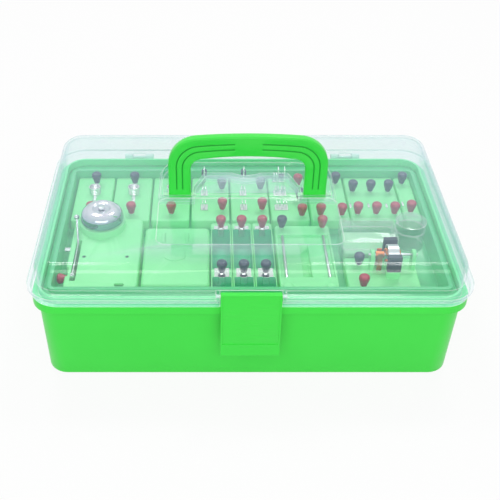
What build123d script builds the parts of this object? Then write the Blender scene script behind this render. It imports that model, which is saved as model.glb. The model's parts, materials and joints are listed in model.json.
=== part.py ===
from build123d import *
from math import atan, ceil, cos, degrees, pi, radians, sin, sqrt
import os

os.makedirs("parts", exist_ok=True)

# An electricity and magnetism kit: a carrying case of green plastic with a clear lid, and a tray of
# classroom apparatus inside it. Sizes are in millimetres. The origin is the centre of the tub's
# underside, +X is to the right, +Y is to the back and +Z is up.

# Driving sizes of the case
case_length = 340.0
case_depth = 216.0
rim_z = 80.0
rim_height = 7.5
rim_plate = 2.5
rim_skirt = 2.0
rim_side_inset = 1.0
rim_front_inset = 1.5
tub_corner = 16.0
tub_wall = 2.2
tub_floor = 2.5
tub_foot_radius = 3.0
tub_side_draft = 1.5
tub_front_draft = 5.0
rim_overhang = 4.0
coaming_height = 5.0
coaming_wall = 2.0

# Driving sizes of the lid
lid_gap = 0.7
lid_height = 32.8
lid_wall = 2.0
lid_inset = 3.5
lid_edge_radius = 10.0
lid_draft = 2.5
lid_skirt_height = 5.8
bead_height = 3.0
bead_overhang = 2.5
flare_height = 4.0
coaming_clearance = 0.6
panel_depth = 0.8
panel_half_length = 73.0
panel_front_inset = 36.0
panel_rear_gap = 4.0
panel_corner = 8.0
notch_depth = 12.0
overlap = 1.0

# Folding handle and the groove that it folds into
handle_half_length = 65.0
handle_leg = 18.2
handle_reach = 56.5
handle_crown = 4.0
handle_thickness = 7.4
handle_outer_radius = 25.0
handle_inner_radius = 10.0
handle_edge = 1.0
handle_pivot_y = 1.0
handle_groove_first = 6.2
handle_groove_second = 11.0
handle_groove_width = 0.9
handle_groove_depth = 0.8
handle_block_half = 11.0
groove_floor_gap = 0.3
groove_depth = 6.5
groove_wall = 1.6
groove_side_gap = 7.0
groove_front_gap = 1.0
groove_rear_gap = 1.6
island_side_gap = 1.8
island_rear = 30.0
island_shoulder_run = 7.0
island_shoulder = 9.0
finger_dip = 4.0
finger_dip_half = 12.0
handle_pin_d = 3.0
handle_lug = 4.0
handle_lug_gap = 0.6
handle_lug_ease = 0.5

# Front latch
latch_width = 46.0
latch_above_rim = 15.5
latch_below_rim = 44.0
latch_thickness = 2.4
latch_overlap = 1.2
latch_bow = 1.8
latch_border = 1.4
latch_border_depth = 0.7
latch_lip_height = 11.0
latch_lip = 1.6
latch_lip_edge = 2.5
latch_web = 2.0
latch_web_inset = 1.0
latch_web_drop = 2.0
latch_side_gap = 0.6
latch_pivot_rise = 11.2
latch_barrel_d = 6.4
latch_pin_d = 2.5
latch_ear = 3.0
catch_reach = 1.4
catch_gap = 0.4
catch_height = 3.0
catch_side = 9.0
catch_root = 4.0

# Rear hinge
hinge_inset = 72.0
hinge_out = 4.5
hinge_barrel_d = 7.2
hinge_pin_d = 3.0
hinge_knuckle = 7.0
hinge_lid_knuckle = 12.0
hinge_side_gap = 0.5

# Running clearances
pin_clearance = 0.05

# Tray, whose depths are measured from the rim of the tub
tray_wall = 1.8
tray_depth = 19.0
tray_floor = 2.0
tray_flange_side = 6.5
tray_flange_front = 14.5
tray_corner = 3.0
tray_flange = 2.0
tray_flange_gap = 0.4
tray_ledge_depth = 3.5
tray_ledge = 4.5
ledge_gap = 1.0
ledge_reach = 3.0
tray_bead_rise = 2.0
tray_bead = 3.2
tray_rib = 1.0
tray_rib_height = 6.0
tray_row_gap = 2.0

# Apparatus boards of the back row; heights are above the tray's floor, and places along a board are
# measured forward from its rear end
board_height = 14.0
board_pitch = 35.1
board_side_gap = 2.5
board_rear_gap = 0.6
board_gap = 1.8
board_length = 70.0
board_corner = 1.5
board_edge = 0.8
board_wall = 1.8
board_top = 2.4
cell_limit = 33.0
resistor_board_width = 45.0
end_board_width = 14.4

# Binding posts: a brass insert moulded into the board and a plastic cap screwed down on it
insert_d = 4.6
insert_rise = 1.5
insert_below = 4.0
cap_d = 9.0
cap_neck_d = 5.6
cap_height = 10.6
cap_dome = 1.2
cap_sides = 8

# Lamp holders
socket_d = 10.6
socket_bore_d = 8.9
socket_height = 7.5
socket_floor = 1.2
lamp_offset = 17.5
lamp_black_run = 10.9
lamp_socket_run = 27.4
lamp_red_run = 60.0
strip_width = 3.4
strip_sheet = 0.5
strip_gap = 0.1

# Knife switches
switch_offset = 11.2
switch_post_offset = 27.2
switch_black_run = 20.4
switch_red_run = 53.7
switch_pivot_run = 27.4
switch_reach = 23.0
blade_thickness = 1.0
blade_width = 5.0
blade_overrun = 2.0
blade_open_angle = 80.0
knob_d = 4.4
knob_length = 5.0
knob_reach = 16.0
clip_leaf = 0.8
clip_gap = 0.35
clip_length = 5.0
clip_height = 7.0
clip_base = 0.8
clip_base_length = 9.0
clip_base_width = 6.0
clip_hole_sides = 8
switch_pivot_rise = 4.8
switch_pin_d = 1.8
changeover_offset = 9.5
changeover_post_offset = 26.6
changeover_rear_run = 14.4
changeover_middle_run = 37.8
changeover_front_run = 63.1
twin_blade_spacing = 5.6

# Terminal and resistor boards
terminal_offsets = (7.9, 26.4)
terminal_black_run = 11.2
terminal_red_run = 62.4
resistor_offsets = (5.6, 21.8, 37.8)
resistor_black_run = 24.4
resistor_red_run = 60.4
end_offset = 5.8
end_red_run = 57.7
tab_side = 4.5
tab_rear = 10.0
tab_length = 6.0

# Front row; lengths run back from its front edge
front_row_gap = 0.7
front_height = 16.0
front_post_run = 84.7
battery_gap = 1.3
battery_pitch = 17.6
battery_width = 17.0
battery_wall = 1.1
battery_length = 92.3
battery_rear_ledge = 10.0
battery_bay_length = 54.0
battery_ledge = 11.0
battery_pocket_depth = 9.0
contact_sheet = 0.5
contact_plate_width = 12.0
contact_plate_run = 2.4
contact_tab_width = 5.0
contact_run = 1.6
contact_drop = 6.0

# Bell
bell_side_gap = 8.5
bell_width = 57.9
bell_length = 95.9
bell_height = 18.0
bell_corner = 6.0
gong_side = 24.0
gong_back = 11.0
gong_d = 36.0
gong_height = 11.0
gong_wall = 1.0
gong_rim = 2.0
gong_flat = 5.0
gong_rim_gap = 1.0
boss_d = 39.0
boss_height = 6.5
boss_skirt = 1.5
pillar_d = 7.0
gong_screw_d = 3.0
gong_screw_head_d = 6.0
gong_screw_head = 1.6
gong_screw_length = 7.0
trough_width = 4.4
trough_left = 4.3
trough_height = 5.0
trough_front = 10.3
trough_length = 54.0
trough_wall = 3.3
clapper_pivot_run = 4.0
clapper_pin_d = 2.0
clapper_pin_seat = 4.0
clapper_barrel_d = 3.6
armature_length = 43.0
armature_thickness = 0.8
armature_low = 6.0
armature_high = 21.0
clapper_arm_d = 1.8
clapper_ball_d = 5.0
clapper_ball_sides = 8
clapper_ball_height = 27.0
clapper_gap = 1.2
bell_core_d = 5.0
bell_core_height = 9.5
bell_core_length = 19.5
bell_coil_d = 10.5
bell_coil_length = 13.0
coil_clearance = 0.1
contact_screw_d = 3.6
contact_screw_length = 6.0
contact_screw_run = 60.3
contact_screw_height = 11.0
side_post_run = 22.3
side_post_height = 10.5
side_post_recess = 2.1
side_post_room = 1.5
side_post_gap = 0.5
side_insert_seat = 1.8
side_cap_height = 9.4
cover_hole_side = 14.0
cover_hole_run = 5.3
cover_hole_length = 8.0
cover_hole_width = 4.0

# Parts box
parts_gap = 2.6
parts_width = 54.6
parts_length = 85.9
parts_joint_height = 10.0
parts_wall = 1.6
parts_step = 7.3
parts_corner = 4.0
parts_round = 3.0
emboss = 0.8
emboss_bar_width = 3.0
emboss_bar_back = (22.6, 9.6)
emboss_bar_side = 9.9
tongue_width = 17.3
tongue_back = (47.6, 32.6)
tongue_offset = 1.3

# Rail board
rail_gap = 2.3
rail_width = 46.5
rail_length = 88.3
rail_d = 2.4
rail_inset = 6.0
rail_recess = 2.6
rail_recess_front = 17.3
rail_recess_back = 13.5
rail_slot_width = 7.5
rail_slot_back = 24.0
rail_slot_depth = 10.0
rail_pad_d = 8.0
rail_pad_sides = 12
rail_pad_front = 6.8

# Motor
motor_gap = 9.1
motor_width = 58.0
motor_length = 53.3
motor_base_height = 8.0
rotor_offset = 37.0
motor_axis_back = 13.5
shaft_height = 21.5
shaft_d = 2.4
shaft_over = 1.5
bearing_offsets = (21.0, 54.5)
bearing_thickness = 3.0
bearing_width = 9.0
rotor_d = 17.0
rotor_length = 9.0
rotor_hub_d = 6.4
rotor_web = 3.0
rotor_shoe = 1.9
rotor_poles = 3
rotor_mouth = 3.0
coil_wire = 1.5
coil_depth = 2.2
magnet_gap = 1.2
magnet_thickness = 4.4
magnet_width = 11.0
magnet_height = 15.0
commutator_offset = 27.0
commutator_d = 6.0
commutator_length = 7.0
brush_sheet = 0.6
brush_width = 4.0
brush_gap = 0.3
brush_rise = 17.0
motor_post_offset = 11.5
motor_black_back = 10.0
motor_red_run = 14.7

# Clear storage case and jar
clear_gap = 8.1
clear_width = 46.6
clear_length = 34.0
clear_front_gap = 1.4
clear_joint_height = 15.0
clear_height = 23.0
clear_wall = 1.2
clear_corner = 4.0
insert_block_gap = 0.5
insert_block_height = 9.0
jar_d = 26.0
jar_side_gap = 2.0
jar_front_gap = 16.4
jar_joint_height = 17.0
jar_height = 25.0
jar_wall = 1.2

# Worked out from the driving sizes: the case
half_x = case_length / 2
half_y = case_depth / 2
lid_z = rim_z + lid_gap
lid_top_z = lid_z + lid_height
wall_half_x = half_x - lid_inset
wall_half_y = half_y - lid_inset
lid_corner = tub_corner + rim_overhang
coaming_half_x = wall_half_x - lid_wall - coaming_clearance
coaming_half_y = wall_half_y - lid_wall - coaming_clearance
coaming_corner = lid_corner - lid_wall - coaming_clearance
rim_half_x = half_x - rim_side_inset
rim_half_y = half_y - rim_front_inset
tub_half_x = rim_half_x - rim_overhang
tub_half_y = rim_half_y - rim_overhang
bead_z = lid_z + lid_skirt_height
flare_z = bead_z + bead_height
hinge_x = half_x - hinge_inset
latch_top_z = rim_z + latch_above_rim
latch_bottom_z = rim_z - latch_below_rim
latch_pivot_z = rim_z + latch_pivot_rise

# The tray and the rows on it
tray_half_x = coaming_half_x - coaming_wall - tray_flange_gap
tray_half_y = coaming_half_y - coaming_wall - tray_flange_gap
tray_inner_half_x = tray_half_x - tray_flange_side
tray_inner_half_y = tray_half_y - tray_flange_front
tray_floor_z = rim_z - tray_depth
tray_ledge_z = rim_z - tray_ledge_depth
tray_bead_z = rim_z + tray_bead_rise
board_z = tray_floor_z + board_height
front_z = tray_floor_z + front_height
bell_z = tray_floor_z + bell_height
motor_base_z = tray_floor_z + motor_base_height
board_width = board_pitch - board_gap
board_start_x = board_side_gap - tray_inner_half_x
board_rear_y = tray_inner_half_y - board_rear_gap
board_front_y = board_rear_y - board_length
tray_row_y = board_front_y - tray_row_gap
front_row_y = front_row_gap - tray_inner_half_y
front_post_y = front_row_y + front_post_run

# Places in the front row, from left to right
bell_left_x = bell_side_gap - tray_inner_half_x
bell_right_x = bell_left_x + bell_width
bell_rear_y = front_row_y + bell_length
parts_left_x = bell_right_x + parts_gap
parts_right_x = parts_left_x + parts_width
parts_rear_y = front_row_y + parts_length
battery_first_x = parts_right_x + battery_gap + battery_width / 2
battery_rear_y = front_row_y + battery_length
rail_left_x = battery_first_x + 2 * battery_pitch + battery_width / 2 + rail_gap
rail_right_x = rail_left_x + rail_width
rail_rear_y = front_row_y + rail_length
motor_left_x = rail_right_x + motor_gap
motor_rear_y = front_row_y + motor_length

# Shared by several pieces
cap_flare = degrees(atan((cap_d - cap_neck_d) / 2 * cos(pi / cap_sides) / (cap_height - cap_dome)))
switch_pivot_y = board_rear_y - switch_pivot_run
switch_pivot_z = board_z + switch_pivot_rise
jaw_front_y = switch_pivot_y - switch_reach
jaw_rear_y = switch_pivot_y + switch_reach
red_posts = {board_z: [], front_z: [], motor_base_z: []}
black_posts = {board_z: [], front_z: [], motor_base_z: []}


def ring(outer_x, outer_y, outer_r, inner_x, inner_y, inner_r):
    """A rounded rectangular ring as a sketch, from the half sizes of its two outlines."""
    RectangleRounded(2 * outer_x, 2 * outer_y, outer_r)
    RectangleRounded(2 * inner_x, 2 * inner_y, inner_r, mode=Mode.SUBTRACT)


def cell_grid(left, front, width, length):
    """Hollow cells as a sketch: they fill a rectangle, with ribs left standing between them."""
    across = ceil(width / cell_limit)
    along = ceil(length / cell_limit)
    pitch_x = (width + board_wall) / across
    pitch_y = (length + board_wall) / along
    with BuildSketch() as grid:
        with Locations((left + width / 2, front + length / 2)):
            with GridLocations(pitch_x, pitch_y, across, along):
                Rectangle(pitch_x - board_wall, pitch_y - board_wall)
    return grid.sketch


def cut_corner_block(left, front, width, length, low_z, high_z):
    """A block with bevelled corners and bevelled top edges, as moulded boards have."""
    with BuildPart() as block:
        with BuildSketch(Plane.XY.offset(low_z)):
            with Locations((left + width / 2, front + length / 2)):
                rectangle = Rectangle(width, length)
            chamfer(rectangle.vertices(), board_corner)
        extrude(amount=high_z - low_z)
        chamfer(block.faces().sort_by(Axis.Z)[-1].edges(), board_edge)
    return block.part


def hollow_board(left, front, width, length, top_z, posts):
    """A board with a ribbed hollow underside and holes for its post inserts."""
    with BuildPart() as board:
        add(cut_corner_block(left, front, width, length, tray_floor_z, top_z))
        with BuildSketch(Plane.XY.offset(tray_floor_z)):
            add(cell_grid(left + board_wall, front + board_wall, width - 2 * board_wall,
                          length - 2 * board_wall))
        extrude(amount=top_z - board_top - tray_floor_z, mode=Mode.SUBTRACT)
        with BuildSketch(Plane.XY.offset(top_z)):
            with Locations(*posts):
                RegularPolygon(insert_d / 2, 6)
        extrude(amount=-insert_below, mode=Mode.SUBTRACT)
    return board.part
# Tub: drafted walls, a hollow rim, a coaming that the lid drops over and a ledge for the tray
with BuildPart() as tub:
    with BuildSketch():
        RectangleRounded(
            2 * (tub_half_x - tub_side_draft), 2 * (tub_half_y - tub_front_draft), tub_corner
        )
    with BuildSketch(Plane.XY.offset(rim_z)):
        RectangleRounded(2 * tub_half_x, 2 * tub_half_y, tub_corner)
    loft()
    fillet(tub.edges().group_by(Axis.Z)[0], tub_foot_radius)
    with BuildSketch(Plane.XY.offset(tub_floor)):
        RectangleRounded(
            2 * (tub_half_x - tub_side_draft - tub_wall),
            2 * (tub_half_y - tub_front_draft - tub_wall),
            tub_corner - tub_wall,
        )
    with BuildSketch(Plane.XY.offset(rim_z)):
        RectangleRounded(
            2 * (tub_half_x - tub_wall), 2 * (tub_half_y - tub_wall), tub_corner - tub_wall
        )
    loft(mode=Mode.SUBTRACT)
    with BuildSketch(Plane.XY.offset(rim_z - rim_plate)):
        ring(rim_half_x, rim_half_y, lid_corner, coaming_half_x - coaming_wall,
             coaming_half_y - coaming_wall, coaming_corner - coaming_wall)
    extrude(amount=rim_plate)
    with BuildSketch(Plane.XY.offset(rim_z - rim_height)):
        ring(rim_half_x, rim_half_y, lid_corner, rim_half_x - rim_skirt, rim_half_y - rim_skirt,
             lid_corner - rim_skirt)
    extrude(amount=rim_height)
    with BuildSketch(Plane.XY.offset(rim_z)):
        ring(coaming_half_x, coaming_half_y, coaming_corner, coaming_half_x - coaming_wall,
             coaming_half_y - coaming_wall, coaming_corner - coaming_wall)
    extrude(amount=coaming_height)
    with BuildSketch(Plane.XY.offset(tray_ledge_z - tray_ledge)):
        ring(tub_half_x - tub_wall / 2, tub_half_y - tub_wall / 2, tub_corner - tub_wall / 2,
             tray_inner_half_x + tray_wall + ledge_gap, tray_half_y - ledge_reach,
             tray_corner + tray_wall)
    extrude(amount=tray_ledge)
    with BuildSketch(Plane.XZ.offset(rim_half_y)):
        with Locations((0, rim_z - rim_height / 2)):
            Rectangle(latch_width - 2 * catch_side, catch_height)
    extrude(amount=catch_reach)
    for side in (-1, 1):
        for step in (-1, 1):
            knuckle_x = side * hinge_x + step * (
                hinge_lid_knuckle / 2 + hinge_side_gap + hinge_knuckle / 2
            )
            with BuildSketch(Plane.YZ.offset(knuckle_x - hinge_knuckle / 2)):
                with Locations((half_y + hinge_out, rim_z)):
                    Circle(hinge_barrel_d / 2)
                with BuildLine():
                    Polyline(
                        (rim_half_y - rim_skirt / 2, rim_z - rim_height),
                        (rim_half_y - rim_skirt / 2, rim_z),
                        (half_y + hinge_out, rim_z),
                        (half_y + hinge_out, rim_z - hinge_barrel_d / 2),
                        close=True,
                    )
                make_face()
                with Locations((half_y + hinge_out, rim_z)):
                    Circle(hinge_pin_d / 2 + pin_clearance, mode=Mode.SUBTRACT)
            extrude(amount=hinge_knuckle)
tub.part.label = "tub"
export_step(tub.part, "parts/tub.step")

# Hinge pins, one at each end of the back
with BuildPart() as hinge_pins:
    for side in (-1, 1):
        pin_half = hinge_lid_knuckle / 2 + hinge_side_gap + hinge_knuckle
        with BuildSketch(Plane.YZ.offset(side * hinge_x - pin_half)):
            with Locations((half_y + hinge_out, rim_z)):
                Circle(hinge_pin_d / 2)
        extrude(amount=2 * pin_half)
hinge_pins.part.label = "hinge_pins"
export_step(hinge_pins.part, "parts/hinge_pins.step")

# Outline of the folded handle's groove, seen from above: the handle's own outline with room round it
groove_front_y = handle_pivot_y - handle_thickness / 2 - groove_front_gap
groove_rear_y = handle_pivot_y + handle_reach + groove_rear_gap
groove_half = handle_half_length + groove_side_gap
island_half = handle_half_length - handle_leg - island_side_gap
groove_bottom_z = lid_top_z - groove_depth
handle_pivot_z = groove_bottom_z + groove_floor_gap + handle_thickness / 2


def groove_outline(grow):
    """The U-shaped groove round the island as a sketch, made larger all round by grow."""
    front = groove_front_y - grow
    rear = groove_rear_y + grow
    half = groove_half + grow
    bend = handle_outer_radius + groove_side_gap
    side = island_half - grow
    top = handle_pivot_y + island_rear - grow
    shoulder_y = handle_pivot_y + island_shoulder_run
    dip = finger_dip_half + grow
    with BuildSketch() as outline:
        with BuildLine():
            Polyline((-half, rear - bend), (-half, front), (half, front), (half, rear - bend))
            ThreePointArc((half, rear - bend),
                          (half - bend + bend * cos(radians(45)), rear - bend * (1 - sin(radians(45)))),
                          (half - bend, rear))
            Line((half - bend, rear), (bend - half, rear))
            ThreePointArc((bend - half, rear),
                          (bend - half - bend * cos(radians(45)), rear - bend * (1 - sin(radians(45)))),
                          (-half, rear - bend))
        make_face()
        with BuildLine():
            Polyline((-dip, top), (island_shoulder - side, top), (-side, shoulder_y),
                     (-side, front - overlap), (side, front - overlap), (side, shoulder_y),
                     (side - island_shoulder, top), (dip, top))
            ThreePointArc((dip, top), (0, top - finger_dip), (-dip, top))
        make_face(mode=Mode.SUBTRACT)
    return outline.sketch


# Hollow of the lid, with the underside of the groove left standing in it
with BuildPart() as lid_hollow:
    with BuildSketch(Plane.XY.offset(lid_z)):
        RectangleRounded(2 * (wall_half_x - lid_wall), 2 * (wall_half_y - lid_wall),
                         lid_corner - lid_wall)
    extrude(amount=lid_top_z - lid_wall - lid_z, taper=lid_draft)
    fillet(lid_hollow.edges().group_by(Axis.Z)[-1], lid_edge_radius - lid_wall)
    with BuildSketch(Plane.XY.offset(groove_bottom_z - groove_wall)):
        add(groove_outline(groove_wall))
    extrude(amount=groove_depth + groove_wall, mode=Mode.SUBTRACT)

# Lid: one clear moulding with a skirt, a bead, a handle groove, a shallow panel and latch ears
notch_half = latch_width / 2 + latch_side_gap
latch_pivot_y = -half_y
lug_x = handle_half_length + handle_lug_gap
panel_front_y = panel_front_inset - half_y
panel_rear_y = groove_front_y - panel_rear_gap
with BuildPart() as lid:
    with BuildSketch(Plane.XY.offset(lid_z)):
        RectangleRounded(2 * wall_half_x, 2 * wall_half_y, lid_corner)
    extrude(amount=lid_top_z - lid_z, taper=lid_draft)
    fillet(lid.edges().group_by(Axis.Z)[-1], lid_edge_radius)
    with BuildSketch(Plane.XY.offset(lid_z)):
        RectangleRounded(2 * half_x, 2 * half_y, lid_corner + lid_inset)
    extrude(amount=lid_skirt_height)
    with BuildSketch(Plane.XY.offset(bead_z)):
        RectangleRounded(2 * (half_x + bead_overhang), 2 * (half_y + bead_overhang),
                         lid_corner + lid_inset + bead_overhang)
    extrude(amount=bead_height)
    with BuildSketch(Plane.XY.offset(flare_z)):
        RectangleRounded(2 * half_x, 2 * half_y, lid_corner + lid_inset)
    extrude(amount=flare_height, taper=45)
    add(lid_hollow.part, mode=Mode.SUBTRACT)
    with BuildSketch(Plane.XY.offset(groove_bottom_z)):
        add(groove_outline(0))
    extrude(amount=groove_depth, mode=Mode.SUBTRACT)
    with BuildSketch(Plane.XY.offset(lid_top_z - panel_depth)):
        with Locations((0, (panel_rear_y + panel_front_y) / 2)):
            RectangleRounded(2 * panel_half_length, panel_rear_y - panel_front_y, panel_corner)
    extrude(amount=panel_depth, mode=Mode.SUBTRACT)
    with BuildSketch(Plane.XY.offset(lid_z)):
        with Locations((0, -wall_half_y - notch_depth / 2)):
            Rectangle(2 * notch_half, notch_depth)
    extrude(amount=flare_z + flare_height - lid_z, mode=Mode.SUBTRACT)
    with BuildSketch(Plane.YZ.offset(-notch_half - latch_ear)):
        with Locations((latch_pivot_y, latch_pivot_z)):
            Circle(latch_ear)
        with Locations((latch_pivot_y + latch_ear, latch_pivot_z)):
            Rectangle(2 * latch_ear, 2 * latch_ear)
    extrude(amount=2 * (notch_half + latch_ear))
    with BuildSketch(Plane.YZ.offset(-notch_half)):
        with Locations((latch_pivot_y, latch_pivot_z)):
            Rectangle(2 * lid_inset + pin_clearance, 5 * latch_ear)
    extrude(amount=2 * notch_half, mode=Mode.SUBTRACT)
    with BuildSketch(Plane.YZ.offset(-notch_half - latch_ear)):
        with Locations((latch_pivot_y, latch_pivot_z)):
            Circle(latch_pin_d / 2 + pin_clearance)
    extrude(amount=2 * (notch_half + latch_ear), mode=Mode.SUBTRACT)
    for side in (-1, 1):
        near = min(side * lug_x, side * (lug_x + handle_lug))
        with BuildSketch(Plane.YZ.offset(near)):
            with Locations((handle_pivot_y, handle_pivot_z)):
                Circle(handle_thickness / 2 - handle_lug_ease)
            with Locations((handle_pivot_y, groove_bottom_z + handle_thickness / 4)):
                Rectangle(handle_thickness - 2 * handle_lug_ease, handle_thickness / 2)
        extrude(amount=handle_lug)
        with BuildSketch(Plane.YZ.offset(side * hinge_x - hinge_lid_knuckle / 2)):
            with Locations((half_y + hinge_out, rim_z)):
                Circle(hinge_barrel_d / 2)
            with BuildLine():
                Polyline((half_y - overlap, lid_z), (half_y + hinge_out, rim_z - overlap / 2),
                         (half_y + hinge_out + hinge_barrel_d / 2, rim_z),
                         (half_y + overlap, bead_z + overlap), (half_y - overlap, bead_z + overlap),
                         close=True)
            make_face()
            with Locations((half_y + hinge_out, rim_z)):
                Circle(hinge_pin_d / 2 + pin_clearance, mode=Mode.SUBTRACT)
        extrude(amount=hinge_lid_knuckle)
    with BuildSketch(Plane.YZ.offset(-lug_x - handle_lug)):
        with Locations((handle_pivot_y, handle_pivot_z)):
            Circle(handle_pin_d / 2 + pin_clearance)
    extrude(amount=2 * (lug_x + handle_lug), mode=Mode.SUBTRACT)
lid.part.label = "lid"
export_step(lid.part, "parts/lid.step")

# Handle, modelled upright: an arched grip on two legs, with two grooves that follow its outline
crown_z = handle_pivot_z + handle_reach


def handle_arch(inset, foot_z):
    """The handle's outline moved in by inset, as a face that ends at foot_z, drawn in X and Z."""
    half = handle_half_length - inset
    crown = crown_z - inset
    bend = handle_outer_radius - inset * (handle_outer_radius - handle_inner_radius) / handle_leg
    with BuildSketch() as arch:
        with BuildLine():
            Polyline((-half, crown - handle_crown), (-half, foot_z), (half, foot_z),
                     (half, crown - handle_crown))
            ThreePointArc((half, crown - handle_crown), (0, crown), (-half, crown - handle_crown))
        make_face()
        fillet(arch.vertices().group_by(Axis.Y)[-1], bend)
    return arch.sketch


# Front half with bevelled edges and two fine grooves that stop at a plain block, then its mirror image
with BuildPart() as handle:
    with BuildSketch(Plane.XZ.offset(-handle_pivot_y)):
        add(handle_arch(0, handle_pivot_z))
        add(handle_arch(handle_leg, handle_pivot_z - overlap), mode=Mode.SUBTRACT)
    extrude(amount=handle_thickness / 2 - handle_edge)
    with BuildSketch(Plane.XZ.offset(handle_thickness / 2 - handle_edge - handle_pivot_y)):
        add(handle_arch(0, handle_pivot_z))
        add(handle_arch(handle_leg, handle_pivot_z - overlap), mode=Mode.SUBTRACT)
    extrude(amount=handle_edge, taper=45)
    with BuildSketch(Plane.XZ.offset(handle_thickness / 2 - handle_groove_depth - handle_pivot_y)):
        for inset in (handle_groove_first, handle_groove_second):
            add(handle_arch(inset, handle_pivot_z + handle_thickness))
            add(handle_arch(inset + handle_groove_width, handle_pivot_z), mode=Mode.SUBTRACT)
        with Locations((0, crown_z)):
            Rectangle(2 * handle_block_half, 2 * handle_leg, mode=Mode.SUBTRACT)
    extrude(amount=handle_groove_depth, mode=Mode.SUBTRACT)
    mirror(about=Plane.XZ.offset(-handle_pivot_y))
    for side in (-1, 1):
        near_x = min(side * handle_half_length, side * (handle_half_length - handle_leg))
        with BuildSketch(Plane.YZ.offset(near_x)):
            with Locations((handle_pivot_y, handle_pivot_z)):
                Circle(handle_thickness / 2)
        extrude(amount=handle_leg)
        with BuildSketch(Plane.YZ.offset(near_x)):
            with Locations((handle_pivot_y, handle_pivot_z)):
                Circle(handle_pin_d / 2 + pin_clearance)
        extrude(amount=handle_leg, mode=Mode.SUBTRACT)
handle.part.label = "handle"
export_step(handle.part, "parts/handle.step")

# Handle pins, each from the island's wall through a leg to the lug outside it
with BuildPart() as handle_pins:
    for side in (-1, 1):
        ends = (side * (island_half - groove_wall - overlap), side * (lug_x + handle_lug))
        with BuildSketch(Plane.YZ.offset(min(ends))):
            with Locations((handle_pivot_y, handle_pivot_z)):
                Circle(handle_pin_d / 2)
        extrude(amount=abs(ends[1] - ends[0]))
handle_pins.part.label = "handle_pins"
export_step(handle_pins.part, "parts/handle_pins.step")
# Front latch: a bowed plate with a raised border and a thumb lip, turning on a pin in the lid's ears
latch_back_y = latch_pivot_y - latch_barrel_d / 2 + latch_overlap
latch_front_y = latch_back_y - latch_thickness
latch_mid_z = (latch_top_z + latch_bottom_z) / 2
catch_y = -(rim_half_y + catch_reach + catch_gap)
catch_low_z = rim_z - rim_height / 2 - catch_height / 2
web_y = -(rim_half_y + catch_reach / 2)
lip_z = latch_bottom_z + latch_lip_height


def latch_side(front_y, back_y):
    """The latch's side view between two bowed lines, as a face drawn in Y and Z."""
    with BuildSketch() as side:
        with BuildLine():
            ThreePointArc((front_y, latch_top_z), (front_y - latch_bow, latch_mid_z),
                          (front_y, latch_bottom_z))
            Line((front_y, latch_bottom_z), (back_y, latch_bottom_z))
            ThreePointArc((back_y, latch_bottom_z), (back_y - latch_bow, latch_mid_z),
                          (back_y, latch_top_z))
            Line((back_y, latch_top_z), (front_y, latch_top_z))
        make_face()
    return side.sketch


with BuildPart() as latch:
    with BuildSketch(Plane.YZ.offset(-latch_width / 2)):
        add(latch_side(latch_front_y, latch_back_y))
    extrude(amount=latch_width)
    with BuildSketch(Plane.YZ.offset(latch_border - latch_width / 2)):
        add(latch_side(latch_front_y - overlap, latch_front_y + latch_border_depth))
        with Locations((latch_front_y, (lip_z + latch_top_z - latch_border) / 2)):
            Rectangle(latch_width, latch_top_z - latch_border - lip_z, mode=Mode.INTERSECT)
    extrude(amount=latch_width - 2 * latch_border, mode=Mode.SUBTRACT)
    with BuildSketch(Plane.YZ.offset(-latch_width / 2)):
        with BuildLine():
            Polyline((latch_back_y, latch_bottom_z), (latch_front_y - latch_lip, latch_bottom_z),
                     (latch_front_y - latch_lip, latch_bottom_z + latch_lip_edge),
                     (latch_front_y - latch_bow / 2, lip_z), (latch_back_y, lip_z), close=True)
        make_face()
    extrude(amount=latch_width)
    for near_x in (-latch_width / 2, latch_width / 2 - latch_web):
        with BuildSketch(Plane.YZ.offset(near_x)):
            with BuildLine():
                Polyline((latch_back_y - latch_bow / 2, latch_bottom_z + latch_web_inset),
                         (web_y, lip_z), (web_y, bead_z - latch_web_drop),
                         (latch_back_y - latch_bow / 2, bead_z), close=True)
            make_face()
        extrude(amount=latch_web)
    with BuildSketch(Plane.YZ.offset(-latch_width / 2 + catch_side)):
        with BuildLine():
            Polyline((latch_back_y - latch_bow, catch_low_z + catch_height / 3),
                     (catch_y, catch_low_z - catch_height / 6), (catch_y, catch_low_z - catch_height / 2),
                     (latch_back_y - latch_bow, catch_low_z - catch_root), close=True)
        make_face()
    extrude(amount=latch_width - 2 * catch_side)
    with BuildSketch(Plane.YZ.offset(-latch_width / 2)):
        with Locations((latch_pivot_y, latch_pivot_z)):
            Circle(latch_barrel_d / 2)
    extrude(amount=latch_width)
    with BuildSketch(Plane.YZ.offset(-latch_width / 2)):
        with Locations((latch_pivot_y, latch_pivot_z)):
            Circle(latch_pin_d / 2 + pin_clearance)
    extrude(amount=latch_width, mode=Mode.SUBTRACT)
latch.part.label = "latch"
export_step(latch.part, "parts/latch.step")

# Latch pin, held in the lid's two ears
with BuildPart() as latch_pin:
    with BuildSketch(Plane.YZ.offset(-notch_half - latch_ear)):
        with Locations((latch_pivot_y, latch_pivot_z)):
            Circle(latch_pin_d / 2)
    extrude(amount=2 * (notch_half + latch_ear))
latch_pin.part.label = "latch_pin"
export_step(latch_pin.part, "parts/latch_pin.step")
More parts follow.
